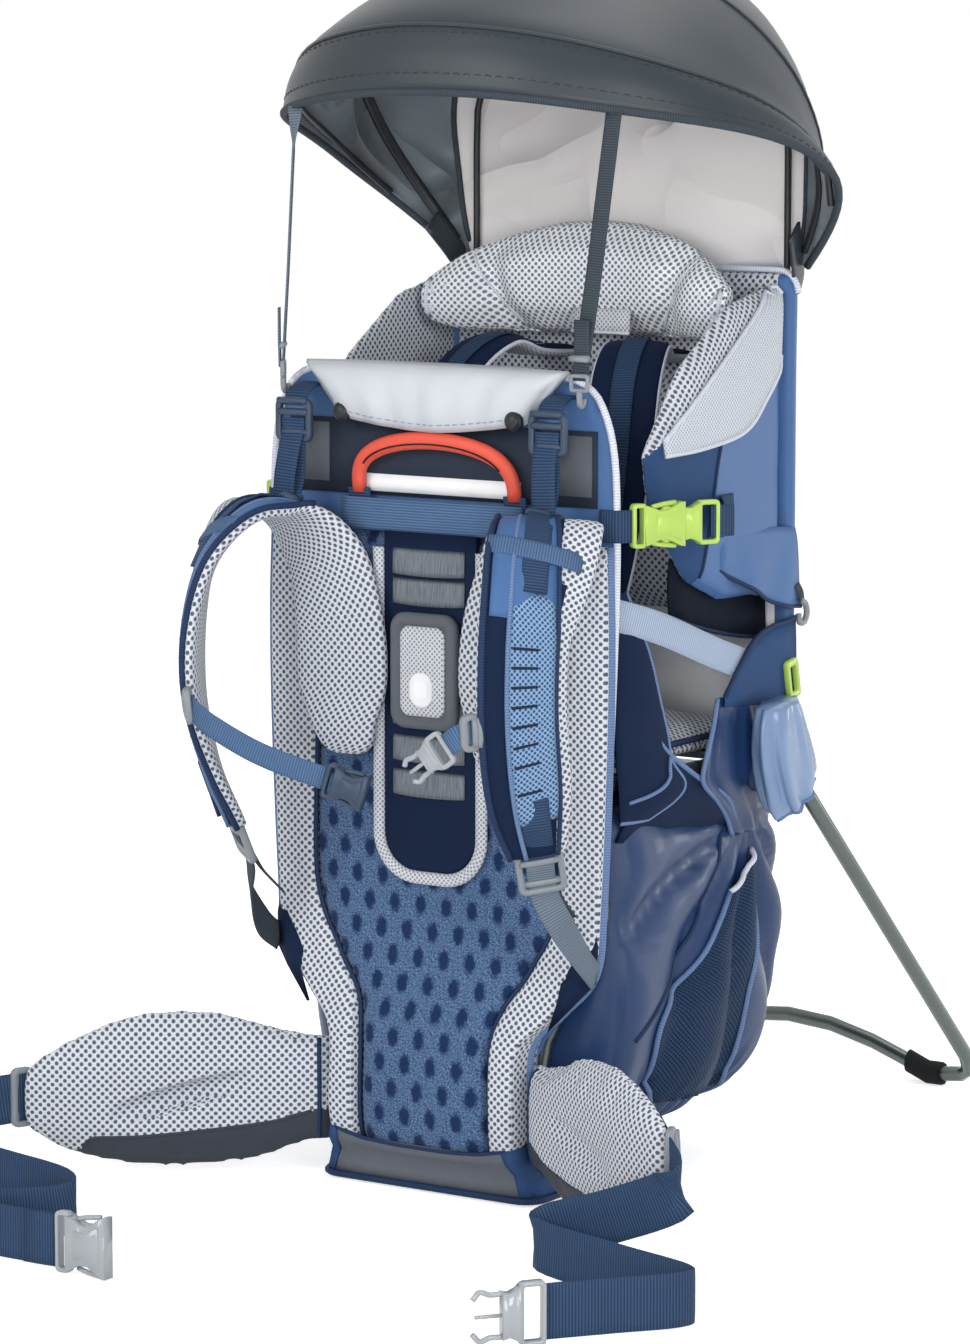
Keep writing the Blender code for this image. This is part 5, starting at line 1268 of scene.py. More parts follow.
def make_hip(word, side, fin):
    """Stuffed fin with a moulded groove, its trim, belt and half of the belt's buckle."""
    body = "hip_" + word
    _, way, inward = fin_axes(side)
    groove_at, groove_reach, groove_half = 0.115, 0.056, 0.085
    finer(fin)
    faces_in = [vertex.normal.dot(inward) > 0.2 for vertex in fin.data.vertices]
    for vertex, inside in zip(fin.data.vertices, faces_in):
        if inside:
            s, share = fin_place(word, side, vertex.co)
            window = max(0.0, 1 - abs((s - groove_at) / groove_reach) ** 3)
            middle = 0.47 - 2.0 * (s - groove_at)
            groove = max(0.0, 1 - ((share - middle) / groove_half) ** 2)
            vertex.co -= inward * (FIN_GROOVE[word] * window * groove)

    def finish_of(spot, normal):
        if normal.dot(inward) < -0.45:
            return 1
        s, share = fin_place(word, side, spot)
        return 2 if share < trim_top(word, s) else 0

    zones(fin, [M["mesh"], M["navy"], M["coal"]], finish_of)
    box_uv(fin, way * side, UP)
    piece(fin, body, "mesh", "hip_fin_" + word)
    target = tree_of(fin)
    seam = [(0.012 + 0.0055 * k, trim_top(word, 0.012 + 0.0055 * k)) for k in range(34)]
    seam = [fin_point(word, side, s, share, 0.03) for s, share in seam if share > 0.09]
    seam = drape(target, seam, -inward, 0.0002)
    trim("fin_trim_piping_" + word, seam, THIN_PIPING, "coal", body, "base_cloth", sides=6)
    root = [fin_point(word, side, 0.006, 0.06 + 0.88 * k / 16, 0.03) for k in range(17)]
    root = drape(target, root, -inward, -0.0008)
    trim("fin_root_piping_" + word, root, 0.0022, "navy_piping", body)
    start = fin_point(word, side, FIN_LENGTH, 0.5, 0.0)
    start.z = 0.063 + FIN_LIFT[word]
    wing = [start - way * 0.036, start - way * 0.018, start - way * 0.002]
    outer = [point - inward * (0.0112 - 0.003 * k) for k, point in enumerate(wing)]
    route = outer + curve([start + way * 0.0063] + [Vector(p) for p in BELT_ROUTES[word]], 6)
    webbing("belt_" + word, route, UP, HIP_WEB, "web", body, "hip_belt_" + word)
    make_hip_buckle(word, body, route)


def make_hip_buckle(word, body, route):
    """Buckle half on a belt's end, the sewn loop at it and the slider at the fin."""
    way = route[-1] - route[-2]
    way.z = 0
    way.normalize()
    over = UP.cross(way)
    loop = [route[-1] - way * 0.030, route[-1] - way * 0.015, route[-1] - way * 0.001]
    loop = [point + over * lift for point, lift in zip(loop, (-0.0024, -0.0028, -0.0020))]
    webbing("belt_loop_" + word, loop, UP, 0.0395, "web", body, thickness=THIN_WEB)
    buckle_half(word, ("belt", "hip"), route[-1], way, over, HIP_BUCKLE, "pale_plastic", body)
    along = route[3] - route[2]
    spot = route[2] + along * 0.4
    lock = ladder_lock("belt_slider_" + word, spot, along, over, 0.020, 0.048, M["grey_plastic"])
    piece(lock, body, "plastic")


# Child's compartment

REAR_FRONT = 0.2646
BAND_START = 0.073
BAND_FOOT = 0.5895
BAND_RISE = 0.66
BAND_CREST = 0.7000
BAND_LOWER = ((0.2615, 0.6450), (0.226, 0.6150), (0.191, 0.5910), (0.130, 0.5820), (0.073, 0.5795))
LEG_FRONT = 0.0312
LEG_EDGE = ((0.476, 0.1355, 0.052, 0.1425), (0.448, 0.1355, 0.064, 0.1475),
            (0.424, 0.1400, 0.066, 0.1560), (0.393, 0.1440, 0.073, 0.1600), (0.365, 0.1460, 0.083, 0.1610),
            (0.343, 0.1475, 0.084, 0.1650), (0.325, 0.1495, 0.096, 0.1695), (0.313, 0.1500, 0.086, 0.1670),
            (0.300, 0.1510, 0.062, 0.1570))


def band_top(y):
    """Height of the upper edge of a wall's pale band at a depth."""
    return BAND_FOOT + BAND_RISE * (y - BAND_START)


def on_wall(target, side, pairs, lift):
    """Lay points, given as depth and height, on the outside of a wall."""
    return drape(target, [(side * 0.17, y, z) for y, z in pairs], (-side, 0, 0), lift)


def between(upper, lower, count):
    """Rows of points from an upper line to a lower one."""
    return [[tuple(Vector(a).lerp(Vector(b), k / count)) for k in range(count + 1)]
            for a, b in zip(upper, lower)]


def make_wall(word, side, wall):
    """Stuffed side wall: mesh top and lining, a pale band, a front painted darker as shade, and a hanging
    flap.
    """
    finer(wall)
    outward = Vector((side, 0, 0))

    def finish_of(spot, normal):
        if normal.dot(outward) < -0.3 or spot.z > band_top(spot.y):
            return 1
        # Front of the wall ahead of its seam: deep blue, darker than the rest as painted shade where the wall
        # bends inward.
        return 2 if spot.y < 0.148 + 0.25 * (spot.z - 0.55) else 0

    zones(wall, [M["blue"], M["mesh"], M["deep_blue"]], finish_of)
    box_uv(wall, REAR, UP)
    piece(wall, "pack", "blue_cloth", "side_wall_" + word)
    target = tree_of(wall)
    lower = curve(BAND_LOWER, 8)
    upper = [(y, min(band_top(y) + 0.001, BAND_CREST)) for y, _ in lower]
    rows = [on_wall(target, side, row, 0.0016) for row in between(upper, lower, 8)]
    band = cloth("wall_band_" + word, rows, CLOTH, M["band"])
    piece(box_uv(band, REAR, UP), "pack", "silver_cloth")
    for label, index in (("upper", 0), ("lower", -1)):
        route = [row[index] + outward * 0.0006 for row in rows]
        trim(f"wall_{label}_piping_{word}", route, PIPING, "pale_piping", "pack", "silver_cloth")
    seam = curve([(0.154, 0.583), (0.147, 0.560), (0.139, 0.520), (0.131, 0.480)], 6)
    seam = on_wall(target, side, seam, 0.0006)
    trim("wall_seam_" + word, seam, 0.0014, "navy_piping", "pack", "blue_cloth", sides=6)
    make_flap(word, side)
    make_side_strap(word, side)
    make_leg_edge(word, side)
    # Near-black sheet inside the wall's lower edge: painted shade standing for the shadowed interior seen
    # there.
    rows = [[(side * (0.1490 - 0.0015 * sin(pi * t)), y, top + (low - top) * t)
             for t in (0, 0.2, 0.4, 0.6, 0.8, 1.0)]
            for y, top, low in ((0.106, 0.497, 0.452), (0.135, 0.494, 0.443), (0.170, 0.490, 0.434),
                                (0.210, 0.486, 0.426), (0.255, 0.482, 0.420))]
    sheet("inner_panel_" + word, rows, 0.0020, "painted_shade_navy", "blue_cloth", (0.152, 0.062), "hung",
          ["side_wall_" + word])
    hem = [row[-1] for row in rows]
    trim("inner_panel_piping_" + word, curve(hem, 4), PIPING, "navy_piping")


def make_flap(word, side):
    """Slack lower corner of a wall that hangs over its edge, with a hook on a short loop."""
    upper = curve([(0.158, 0.515), (0.200, 0.513), (0.245, 0.510), (0.276, 0.507)], 5)
    lower = curve([(0.158, 0.484), (0.205, 0.462), (0.244, 0.448), (0.276, 0.444)], 5)
    rows = []
    for i, row in enumerate(between(upper, lower, 10)):
        rows.append([])
        for k, (y, z) in enumerate(row):
            drop = k / 10
            out = 0.0075 * drop ** 0.7 * min(i / 4, 1) + 0.0022 * sin(i * 1.0 + k * 0.35) * drop
            rows[-1].append((side * (0.1625 + out), y, z))
    sheet("wall_flap_" + word, rows, CLOTH, "blue", "blue_cloth", (0.120, 0.055), "hung",
          ["side_wall_" + word])
    hem = [row[-1] for row in rows]
    trim("wall_flap_piping_" + word, hem, PIPING, "navy_piping")
    loop = curve(mirrored(side, ((0.1700, 0.268, 0.462), (0.1715, 0.272, 0.455), (0.1715, 0.274, 0.4475))), 5)
    webbing("hook_loop_" + word, loop, Vector((0, 0.8, 0.6)), 0.007, "dark_web", "pack", thickness=0.0014)
    hook = curve([(side * 0.1715, y, z) for y, z in (
        (0.272, 0.4490), (0.279, 0.4460), (0.282, 0.4380), (0.277, 0.4310), (0.270, 0.4320),
        (0.2685, 0.4385))], 4)
    trim("hook_" + word, hook, WIDE_PIPING, "grey_plastic", "pack", "plastic")


def make_side_strap(word, side):
    """Blue wing at the rear end of the stirrup web, its pull tab and the slack cloth below it."""
    outer = outline_rect(0.0085, 0.0160, 0.0030, 3)
    inner = outline_rect(0.0048, 0.0105, 0.0016, 3)
    tab = plate("pull_tab_" + word, outer, 0.0050, (side * 0.1735, 0.2555, 0.3880), (0, 0.98, 0.2),
                (0, -0.2, 0.98), M["lime"], inner)
    piece(tab, "pack", "lime_plastic")
    rows = [[(side * (0.1692 + 0.0012 * sin(3 * t)), y, low + (top - low) * t)
             for t in (0, 0.25, 0.5, 0.75, 1.0)]
            for y, low, top in ((0.156, 0.377, 0.385), (0.176, 0.375, 0.404), (0.200, 0.373, 0.424),
                                (0.225, 0.371, 0.432), (0.248, 0.369, 0.434), (0.266, 0.368, 0.436))]
    sheet("side_wing_" + word, rows, CLOTH, "deep_blue", "navy_webbing", (0.112, 0.052), "stretched",
          ["foot_strap_" + word])
    edge = [Vector(row[-1]) + Vector((side * 0.0008, 0, 0)) for row in rows]
    trim("wing_piping_" + word, curve(edge, 4), HEM_PIPING, "navy_piping")
    rows = []
    for z, near, far, x in curve(((0.384, 0.148, 0.204, 0.1668), (0.362, 0.136, 0.202, 0.1690),
                                  (0.340, 0.122, 0.199, 0.1712), (0.322, 0.120, 0.199, 0.1708),
                                  (0.304, 0.150, 0.208, 0.1660), (0.285, 0.180, 0.226, 0.1590),
                                  (0.268, 0.196, 0.236, 0.1550)), 4):
        rows.append([(side * (x + 0.0016 * sin(k * 1.15 + z * 40)), near + (far - near) * k / 12, z)
                     for k in range(13)])
    sheet("side_cloth_" + word, rows, 0.0020, "nylon", "blue_nylon", (0.130, 0.066), "hung",
          ["side_wing_" + word, "bag"])
    edge = [Vector(row[0]) + Vector((side * 0.0006, 0, 0)) for row in rows]
    trim("side_cloth_piping_" + word, edge, HEM_PIPING, "piping")


def leg_point(side, level, share, lift=0.0):
    """Point on the strip in front of a leg opening: share runs from the frame to the bound edge."""
    z, front_x, edge_y, edge_x = level
    x = front_x + (edge_x - front_x) * (1 - (1 - share) ** 2)
    return Vector((side * (x + lift), LEG_FRONT + (edge_y - LEG_FRONT) * share, z))


def make_leg_edge(word, side):
    """Navy strip in front of a leg opening; its bound edge droops over the bag."""
    levels = curve(LEG_EDGE, 5)
    rows = [[leg_point(side, level, k / 10) for k in range(11)] for level in levels]
    sheet("leg_strip_" + word, rows, CLOTH, "navy", "navy_webbing", (0.195, 0.050), "hung",
          ["frame_loop", "bag"])
    edge = [row[-1] for row in rows] + rows[-1][-2::-1]
    trim("leg_piping_" + word, edge, PIPING, "piping", "pack", "silver_cloth")
    fold = [leg_point(side, levels[24 + 2 * k], share, 0.0022)
            for k, share in enumerate((0.94, 0.84, 0.72, 0.56, 0.36, 0.10))]
    trim("leg_fold_" + word, curve(fold, 4), 0.0015, "piping", "pack", "silver_cloth")


def make_rear(rear, backrest, headrest, seat):
    """Rear wall, the pads on it and the seat."""
    for obj in (rear, backrest, headrest, seat):
        finer(obj)

    def finish_of(spot, normal):
        if normal.y > -0.3 or abs(spot.x) > 0.150:
            return 0
        return 1 if spot.z > 0.462 else 2

    zones(rear, [M["blue"], M["mesh"], M["white"]], finish_of)
    box_uv(rear)
    piece(rear, "pack", "blue_cloth", "rear_wall")
    pairs = outline_rect(0.1655, 0.2005, 0.018, 8)
    hem = [(x, 0.2742, 0.5115 + z) for x, z in pairs if z > 0.15]
    trim("rear_piping", hem, WIDE_PIPING, "pale_piping", "pack", "mesh")
    shape_head(headrest)
    target = tree_of(rear)
    for name, z in (("upper", 0.640), ("lower", 0.420)):
        route = drape(target, [(0.155 * t, 0.30, z) for t in spread(24)], TO_WEARER, 0.0004)
        piece(stitches(f"rear_{name}_stitches", route, REAR, M["pale_thread"]), "pack", "blue_cloth")
    rows = [drape(target, [(0.120 * t, 0.30, z) for t in spread(12)], TO_WEARER, 0.0020)
            for z in (0.440, 0.480, 0.520, 0.560, 0.600, 0.622)]
    sheet("rear_panel", rows, CLOTH, "navy_mesh", "navy_mesh", (0.240, 0.182), "stretched", ["rear_wall"])
    edge = (rows[0] + [row[-1] for row in rows[1:]] + rows[-1][-2::-1]
            + [row[0] for row in rows[-2:0:-1]])
    trim("rear_panel_piping", edge, HEM_PIPING, "piping", loop=True)
    for obj, node, body, mat, axes in (
            (backrest, "backrest_pad", "pack", "mesh", (RIGHT, UP)),
            # The headrest takes the lighter mesh, painted light against the shade under the sunshade.
            (headrest, "headrest", "pack", "head_mesh_painted_light", (RIGHT, UP)),
            (seat, "seat_pad", "seat", "mesh", (RIGHT, REAR))):
        zones(obj, [M[mat]], lambda spot, normal: 0)
        box_uv(obj, *axes)
        piece(obj, body, "mesh", node)
    make_head_trim(headrest)
    rim = [(x, 0.135 + y, 0.3525) for x, y in outline_rect(0.1530, 0.0990, 0.028, 8)]
    trim("seat_piping", rim, WIDE_PIPING, "navy_piping", "seat", loop=True)


def shape_head(headrest):
    """Round the ends of the headrest and sew grooves between its middle and its lower wings."""
    low, rise, half = 0.655, 0.097, 0.144
    fronts = [vertex.normal.y < -0.15 for vertex in headrest.data.vertices]
    for vertex, front in zip(headrest.data.vertices, fronts):
        u, v = abs(vertex.co.x) / half, (vertex.co.z - low) / rise
        past = max(u - 0.72, 0.0) / 0.28
        middle = low + rise * 0.34
        vertex.co.z = middle + (vertex.co.z - middle) * (1 - 0.34 * past ** 2)
        if front:
            groove = (u - 0.44 - 0.34 * v) / 0.085
            vertex.co.y += 0.0095 * 2.718 ** (-groove * groove)
            wing = max(0.0, 1 - ((u - 0.80) / 0.2) ** 2)
            vertex.co.y -= 0.0060 * max(0.0, 1 - (u / 0.52) ** 2) + 0.0040 * wing


def make_head_trim(headrest):
    """Seams, edge binding and a small tab on the headrest."""
    target = tree_of(headrest)
    for word, side in SIDES:
        line = [(side * (0.0645 + 0.0460 * k / 14), 0.0, 0.662 + 0.066 * k / 14) for k in range(15)]
        seam = drape(target, line, REAR, 0.0002)
        trim("head_seam_" + word, seam, THIN_PIPING, "pale_piping", "pack", "mesh", sides=6)
        line = [(side * 0.1380, 0.0, 0.664 + 0.040 * k / 10) for k in range(11)]
        edge = drape(target, line, REAR, 0.0004)
        trim("head_edge_" + word, edge, PIPING, "pale_piping", "pack", "mesh", sides=6)
    crest = drape(target, [(0.128 * t, 0.235 - 0.05 * t ** 2, 0.0) for t in spread(24)], -UP, 0.0004)
    trim("head_crest", crest, HEM_PIPING, "pale_piping", "pack", "mesh", sides=6)
    top = [(0.019 + x, 0.0, 0.6800) for x in (-0.028, -0.014, 0.0, 0.014, 0.028)]
    top = drape(target, top, REAR, 0.0014)
    rows = [[point + Vector((0, -out, -drop)) for point in top]
            for out, drop in ((0.0, 0.0), (0.0012, 0.006), (0.0018, 0.012), (0.0016, 0.019))]
    sheet("head_tab", rows, 0.0018, "fine_mesh", "mesh", (0.056, 0.021), "hung", ["headrest"])
    hem = [point + Vector((0, -0.0010, 0)) for point in rows[-1]]
    trim("head_tab_hem", hem, 0.0014, "pale_piping", "pack", "mesh", sides=6)


CHILD_STRAP_ROUTE = ((0.055, 0.000, 0.6415, 0.038), (0.055, 0.012, 0.6415, 0.038),
                     (0.058, 0.045, 0.6445, 0.046), (0.067, 0.075, 0.652, 0.053),
                     (0.080, 0.112, 0.627, 0.056), (0.088, 0.136, 0.570, 0.054),
                     (0.084, 0.140, 0.510, 0.046), (0.074, 0.128, 0.462, 0.030))


def make_child_strap(word, side):
    """Padded strap of the child's harness: navy outside, mesh inside, piped edges and a web on it."""
    rows = curve(CHILD_STRAP_ROUTE, 6)
    points = [Vector((side * row[0], REAR_FRONT - row[1], row[2])) for row in rows]
    turn = radians(14)
    later = Vector((cos(turn), side * sin(turn), 0))
    acrosses = [RIGHT.lerp(later, min(max(k - 6, 0) / 8, 1)) for k in range(len(points))]
    line = frames(points, acrosses)
    half_thick, web_lift, web_start = 0.0049, 0.0062, 10
    ring = whole_crown(12, 3.0)
    skins = []
    for (point, across, normal), row in zip(line, rows):
        if normal.y > 0 and normal.z < 0:
            normal = -normal
        skins.append([point + across * (row[3] / 2 * a) + normal * (half_thick * o) for a, o in ring])
    top = line[len(line) // 2][2]
    outside = 0 if top.y < 0 else 1
    pad = solid("child_pad_" + word, skins, [M["navy"], M["fine_mesh"]],
                pick=lambda i, j: outside if j < 12 else 1 - outside)
    piece(pad, "pack", "navy_webbing", "child_strap_" + word)
    for label, share in (("inner", -1), ("outer", 1)):
        edge = [point + across * (row[3] / 2 * share * 0.99)
                for (point, across, normal), row in zip(line, rows)]
        trim(f"child_{label}_piping_{word}", edge[3:], 0.0017, "pale_piping", "pack", "silver_cloth")
    sign = -1 if top.y > 0 else 1
    route = [point + normal * (sign * web_lift) for point, _, normal in line[web_start:]]
    acrosses = [across for _, across, _ in line[web_start:]]
    webbing("child_web_" + word, route, acrosses, 0.019, "web", "pack", thickness=0.0018)


def make_entry(word, side):
    """Entry strap with its lime buckle, the plug's tail and the stirrup web below it."""
    turn = radians(27.4)
    way = Vector((side * sin(turn), cos(turn), 0))
    over = UP.cross(way)
    height = 0.531
    start = Vector((side * 0.1670, 0.0200, height))
    route = [(side * x, y, height) for x, y in ((0.145, 0.0100), (0.1585, 0.0098), (0.1640, 0.0140))]
    route = curve(route + [tuple(start + way * 0.004)], 5)
    webbing("entry_strap_" + word, route, UP, ENTRY_WEB, "web", "pack", "side_strap_" + word)
    socket = buckle_socket("entry_socket_" + word, start, way, over, *ENTRY_BUCKLE, M["lime"])
    piece(socket, "pack", "lime_plastic", "side_socket_" + word)
    body = "entry_plug_" + word
    plug_start = start + way * (ENTRY_BUCKLE[0] + BUCKLE_GAP)
    plug = buckle_plug("entry_buckle_" + word, plug_start, way, over, *ENTRY_BUCKLE, M["lime"])
    wall = 0.1654
    tail_start = plug_start + way * 0.0250
    tail = [tuple(tail_start), tuple(tail_start + way * 0.012)]
    tail += [(side * (wall + gap), y, height) for gap, y in ((0.018, 0.128), (0.003, 0.152), (0.0008, 0.172))]
    piece(plug, body, "lime_plastic", "side_plug_" + word)
    webbing("entry_tail_" + word, curve(tail, 6), UP, ENTRY_WEB, "web", body)
    fold = [tail_start + over * 0.002 * side + way * x for x in (0.001, 0.010, 0.022)]
    webbing("entry_fold_" + word, fold, UP, 0.0245, "web", body)
    route = curve(mirrored(side, ((0.139, 0.0306, 0.462), (0.156, 0.080, 0.446), (0.166, 0.160, 0.416),
                                  (0.164, 0.2643, 0.386))), 8)
    webbing("stirrup_" + word, route, UP, ENTRY_WEB, "grey_web", "pack", "foot_strap_" + word,
            slot="slate_nylon")


# Storage bag

BAG_LEVELS = ((0.045, 0.112, 0.050, 0.200), (0.060, 0.132, 0.0306, 0.245), (0.110, 0.147, 0.0306, 0.286),
              (0.200, 0.152, 0.0306, 0.292), (0.290, 0.150, 0.0306, 0.285), (0.310, 0.146, 0.0306, 0.281))
BAG_APEX = (0.221, 0.281)
BAG_POINTS = 288


def resampled(points, count):
    """Even points along a closed outline of pairs."""
    line = [Vector(p) for p in points] + [Vector(points[0])]
    marks = marks_of(line)
    return [at(line, marks, marks[-1] * k / count) for k in range(count)]


def bag_fold(side_share, y, z):
    """Depth of the folds of the bag at a point: a fan from an apex on the sides, slack rows behind."""
    dy, dz = y - BAG_APEX[0], z - BAG_APEX[1]
    reach = (dy * dy + dz * dz) ** 0.5
    angle = atan2(dz, dy)
    wander = noise.noise(Vector((y * 7, z * 7, side_share)))
    fan = (1.5 * abs(sin(angle * 6.0 + 0.9 + wander * 1.5)) ** 0.7 - 1.0) * min(reach / 0.08, 1.0)
    rows = sin(z * 70 + 3 * noise.noise(Vector((y * 6 + side_share * 3, z * 4, 5))))
    small = noise.noise(Vector((y * 30, z * 22, side_share * 2)))
    return 0.0110 * fan * abs(side_share) + 0.0045 * rows * (1 - abs(side_share)) + 0.0022 * small


def make_bag():
    """Slack nylon bag with fanned folds, gathers at the bottom and piped seams."""
    rows = []
    for z, half, front, back in curve(BAG_LEVELS, 14):
        pairs = outline_rect(half, (back - front) / 2, 0.032, 6)
        row = []
        ring = resampled(pairs, BAG_POINTS)
        for k, (x, y) in enumerate(ring):
            before, after = ring[k - 1], ring[(k + 1) % BAG_POINTS]
            way = (after - before).normalized()
            normal = Vector((way.y, -way.x, 0))
            place = Vector((x, (front + back) / 2 + y, z))
            depth = bag_fold(normal.x, place.y, z) * (1 if normal.y > -0.6 else 0.1)
            gather = max(0.0, 1 - (z - 0.045) / 0.055)
            depth += 0.0026 * gather * sin(k * 1.17)
            row.append(place + normal * depth)
        rows.append(row)
    low = [Vector((p.x * 0.80, 0.125 + (p.y - 0.125) * 0.80, 0.0405)) for p in rows[0]]
    bag = solid("bag", [low] + rows, M["nylon"])
    relax(bag, 1, 0.4)
    piece(bag, "pack", "blue_nylon", "storage_bag")
    target = tree_of(bag)
    seam = curve([(0.188, 0.276), (0.163, 0.226), (0.134, 0.189), (0.095, 0.158), (0.054, 0.126)], 6)
    for word, side in SIDES:
        route = on_wall(target, side, seam, 0.0003)
        trim("bag_seam_" + word, route, PIPING, "navy_piping")
        make_pocket(word, side, target)
        make_gusset(word, side)
    seam = [point + Vector((0, 0.0012, 0)) for point in rows[-17] if point.y > 0.26]
    trim("bag_zip", seam, WIDE_PIPING, "navy_piping", flat=0.6)


def make_pocket(word, side, target):
    """Stretch mesh pocket on the bag with a piped edge and an elastic mouth."""
    front = curve([(0.104, 0.066), (0.092, 0.095), (0.090, 0.128), (0.112, 0.150), (0.143, 0.176),
                   (0.186, 0.224)], 6)
    rear = curve([(0.213, 0.060), (0.217, 0.100), (0.221, 0.141), (0.227, 0.175), (0.232, 0.208),
                  (0.230, 0.252)], 6)
    rows = []
    for i, pairs in enumerate(between(front, rear, 14)):
        base = on_wall(target, side, pairs, 0.0014)
        swell = sin(pi * min(i / len(front) * 0.62 + 0.16, 1.0))
        rows.append([point + Vector((side * 0.0095 * swell * sin(pi * k / 14) ** 0.8, 0, 0))
                     for k, point in enumerate(base)])
    sheet("pocket_" + word, rows, 0.0018, "navy_mesh", "navy_mesh", (0.135, 0.195), "stretched", ["bag"],
          "side_pocket_" + word)
    for label, line in (("front", [row[0] for row in rows]), ("rear", [row[-1] for row in rows]),
                        ("mouth", rows[-1])):
        route = [point + Vector((side * 0.0012, 0, 0)) for point in line]
        trim(f"pocket_{label}_{word}", route, 0.0023, "pale_piping" if label == "mouth" else "piping")


def make_gusset(word, side):
    """Slack cloth between the seat frame and the bag, with a bound upper edge."""
    upper = curve([(0.072, 0.362, 0.1590), (0.083, 0.348, 0.1640), (0.123, 0.323, 0.1695),
                   (0.166, 0.304, 0.1665), (0.192, 0.284, 0.1590)], 6)
    lower = curve([(0.036, 0.284, 0.1440), (0.072, 0.280, 0.1440), (0.126, 0.275, 0.1440),
                   (0.180, 0.272, 0.1440), (0.212, 0.270, 0.1440)], 6)
    rows = []
    for i, row in enumerate(between(upper, lower, 8)):
        rows.append([(side * (x + 0.0030 * sin(pi * k / 8) + 0.0012 * sin(i * 0.9) * k / 8), y, z)
                     for k, (y, z, x) in enumerate(row)])
    sheet("gusset_" + word, rows, 0.0020, "navy", "blue_nylon", (0.165, 0.056), "hung",
          ["bag", "seat_frame_loop"])
    trim("gusset_piping_" + word, [row[0] for row in rows], 0.0022, "piping", "pack", "silver_cloth")


# Sunshade

SHADE_PIVOT_X = 0.156
SHADE_PIVOT_Z = 0.704
SHADE_Y = 0.2915
SHADE_HOOPS = ((26.5, 0.340, 0.230, 0.38), (32.0, 0.352, 0.226, 0.38), (37.0, 0.352, 0.214, 0.40),
               (50.0, 0.322, 0.206, 0.42), (65.0, 0.290, 0.196, 0.44), (80.0, 0.262, 0.178, 0.46),
               (90.0, 0.240, 0.156, 0.50))
SHADE_BEND = 0.35
SHADE_STEPS = 5


def hoop_point(hoop, share):
    """Point on a hoop: share runs from 0 at the pivot to 1 at the middle."""
    lift, reach, half, tuck = hoop
    if share < SHADE_BEND:
        turn = share / SHADE_BEND
        out = tuck * reach * turn
        x = SHADE_PIVOT_X + (half - SHADE_PIVOT_X) * sin(turn * pi / 2)
    else:
        turn = (share - SHADE_BEND) / (1 - SHADE_BEND) * pi / 2
        out = reach * (tuck + (1 - tuck) * sin(turn))
        x = half * max(cos(turn), 0.0) ** 0.85
    angle = radians(lift + (90 - lift) * 0.71 * (1 - out / reach) ** 1.7)
    return Vector((x, SHADE_Y - out * cos(angle), SHADE_PIVOT_Z + out * sin(angle)))


def shade_rows():
    """Grid of the sunshade from its front rim over the top and down behind."""
    shares = [0.03 + 0.97 * k / 30 for k in range(31)]
    centre = Vector((0, SHADE_Y, SHADE_PIVOT_Z))
    columns = []
    for share in shares:
        knots = [hoop_point(hoop, share) for hoop in SHADE_HOOPS]
        knots += [centre + (knots[-1] - centre) * part for part in (0.80, 0.55, 0.30, 0.08)]
        columns.append(curve(knots, SHADE_STEPS))
    rows = [list(row) for row in zip(*columns)]
    whole = []
    for i, row in enumerate(rows):
        full = [Vector((-p.x, p.y, p.z)) for p in row[:-1]] + row[::-1]
        sag = sin(pi * min(max((i - 10) / 20, 0), 1))
        for k, p in enumerate(full):
            crease = noise.noise(Vector((k * 0.22, i * 0.10, 3.0)))
            inward = (centre - p).normalized()
            full[k] = p + inward * (0.0035 * sag + 0.0020 * crease * min(i / 8, 1))
        whole.append(full)
    return whole


def make_shade():
    """Sunshade cloth with its hems, seams, light rear lining, rod sleeve and pivot tabs."""
    rows = shade_rows()
    rear = 6 * SHADE_STEPS
    lifts = surface_normals(rows)
    sign = 1 if lifts[12][30].z > 0 else -1
    width = len(rows[0])

    # Outer face slate; the underside takes the lighter copy, painted light against the shade beneath; the
    # rear rows take the beige lining.
    def finish_of(i, j):
        if (j < width) == (sign > 0):
            return 0
        return 2 if i >= rear - 3 else 1

    cover = cloth("shade_cover", rows, 0.0026, [M["slate"], M["inside"], M["beige"]], finish_of)
    piece(cover, "canopy", "slate_nylon", "canopy_cover")
    trim("shade_rim", rows[0], 0.0032, "dark_web", "canopy", "slate_nylon", sides=10)

    def lifted(index, lift, ends):
        line = [p + n * (sign * lift) for p, n in zip(rows[index], lifts[index])]
        return line[ends:-ends]

    for name, index, lift, radius, mat, ends in (
            ("shade_visor_seam", 8, 0.0018, 0.0018, "slate", 3),
            ("shade_top_seam", 20, 0.0018, 0.0018, "slate", 3),
            ("shade_rear_piping", rear, 0.0020, 0.0022, "dark_web", 3),
            ("shade_lining_seam", rear - 3, -0.0022, 0.0024, "dark_web", 1),
            ("shade_sleeve", 15, -0.0030, 0.0046, "rod", 1)):
        trim(name, lifted(index, lift, ends), radius, mat, "canopy", "slate_nylon", sides=6, flat=0.7)
    for name, index in (("shade_front_stitches", 2), ("shade_visor_stitches", 7)):
        line = lifted(index, 0.0014, 6)
        piece(stitches(name, line, UP, M["dark_web"], 0.005, 0.004), "canopy", "slate_nylon")
    for word, side in SIDES:
        foot = [(side * SHADE_PIVOT_X, 0.2875, 0.692), (side * 0.1590, 0.2860, 0.704),
                (side * 0.1640, 0.2740, 0.722), (side * 0.1720, 0.2560, 0.744)]
        webbing("shade_tab_" + word, curve(foot, 4), Vector((0, 0.6, 0.8)), 0.022, "slate", "canopy",
                slot="slate_nylon", thickness=0.0030)
        make_hold(word, side)


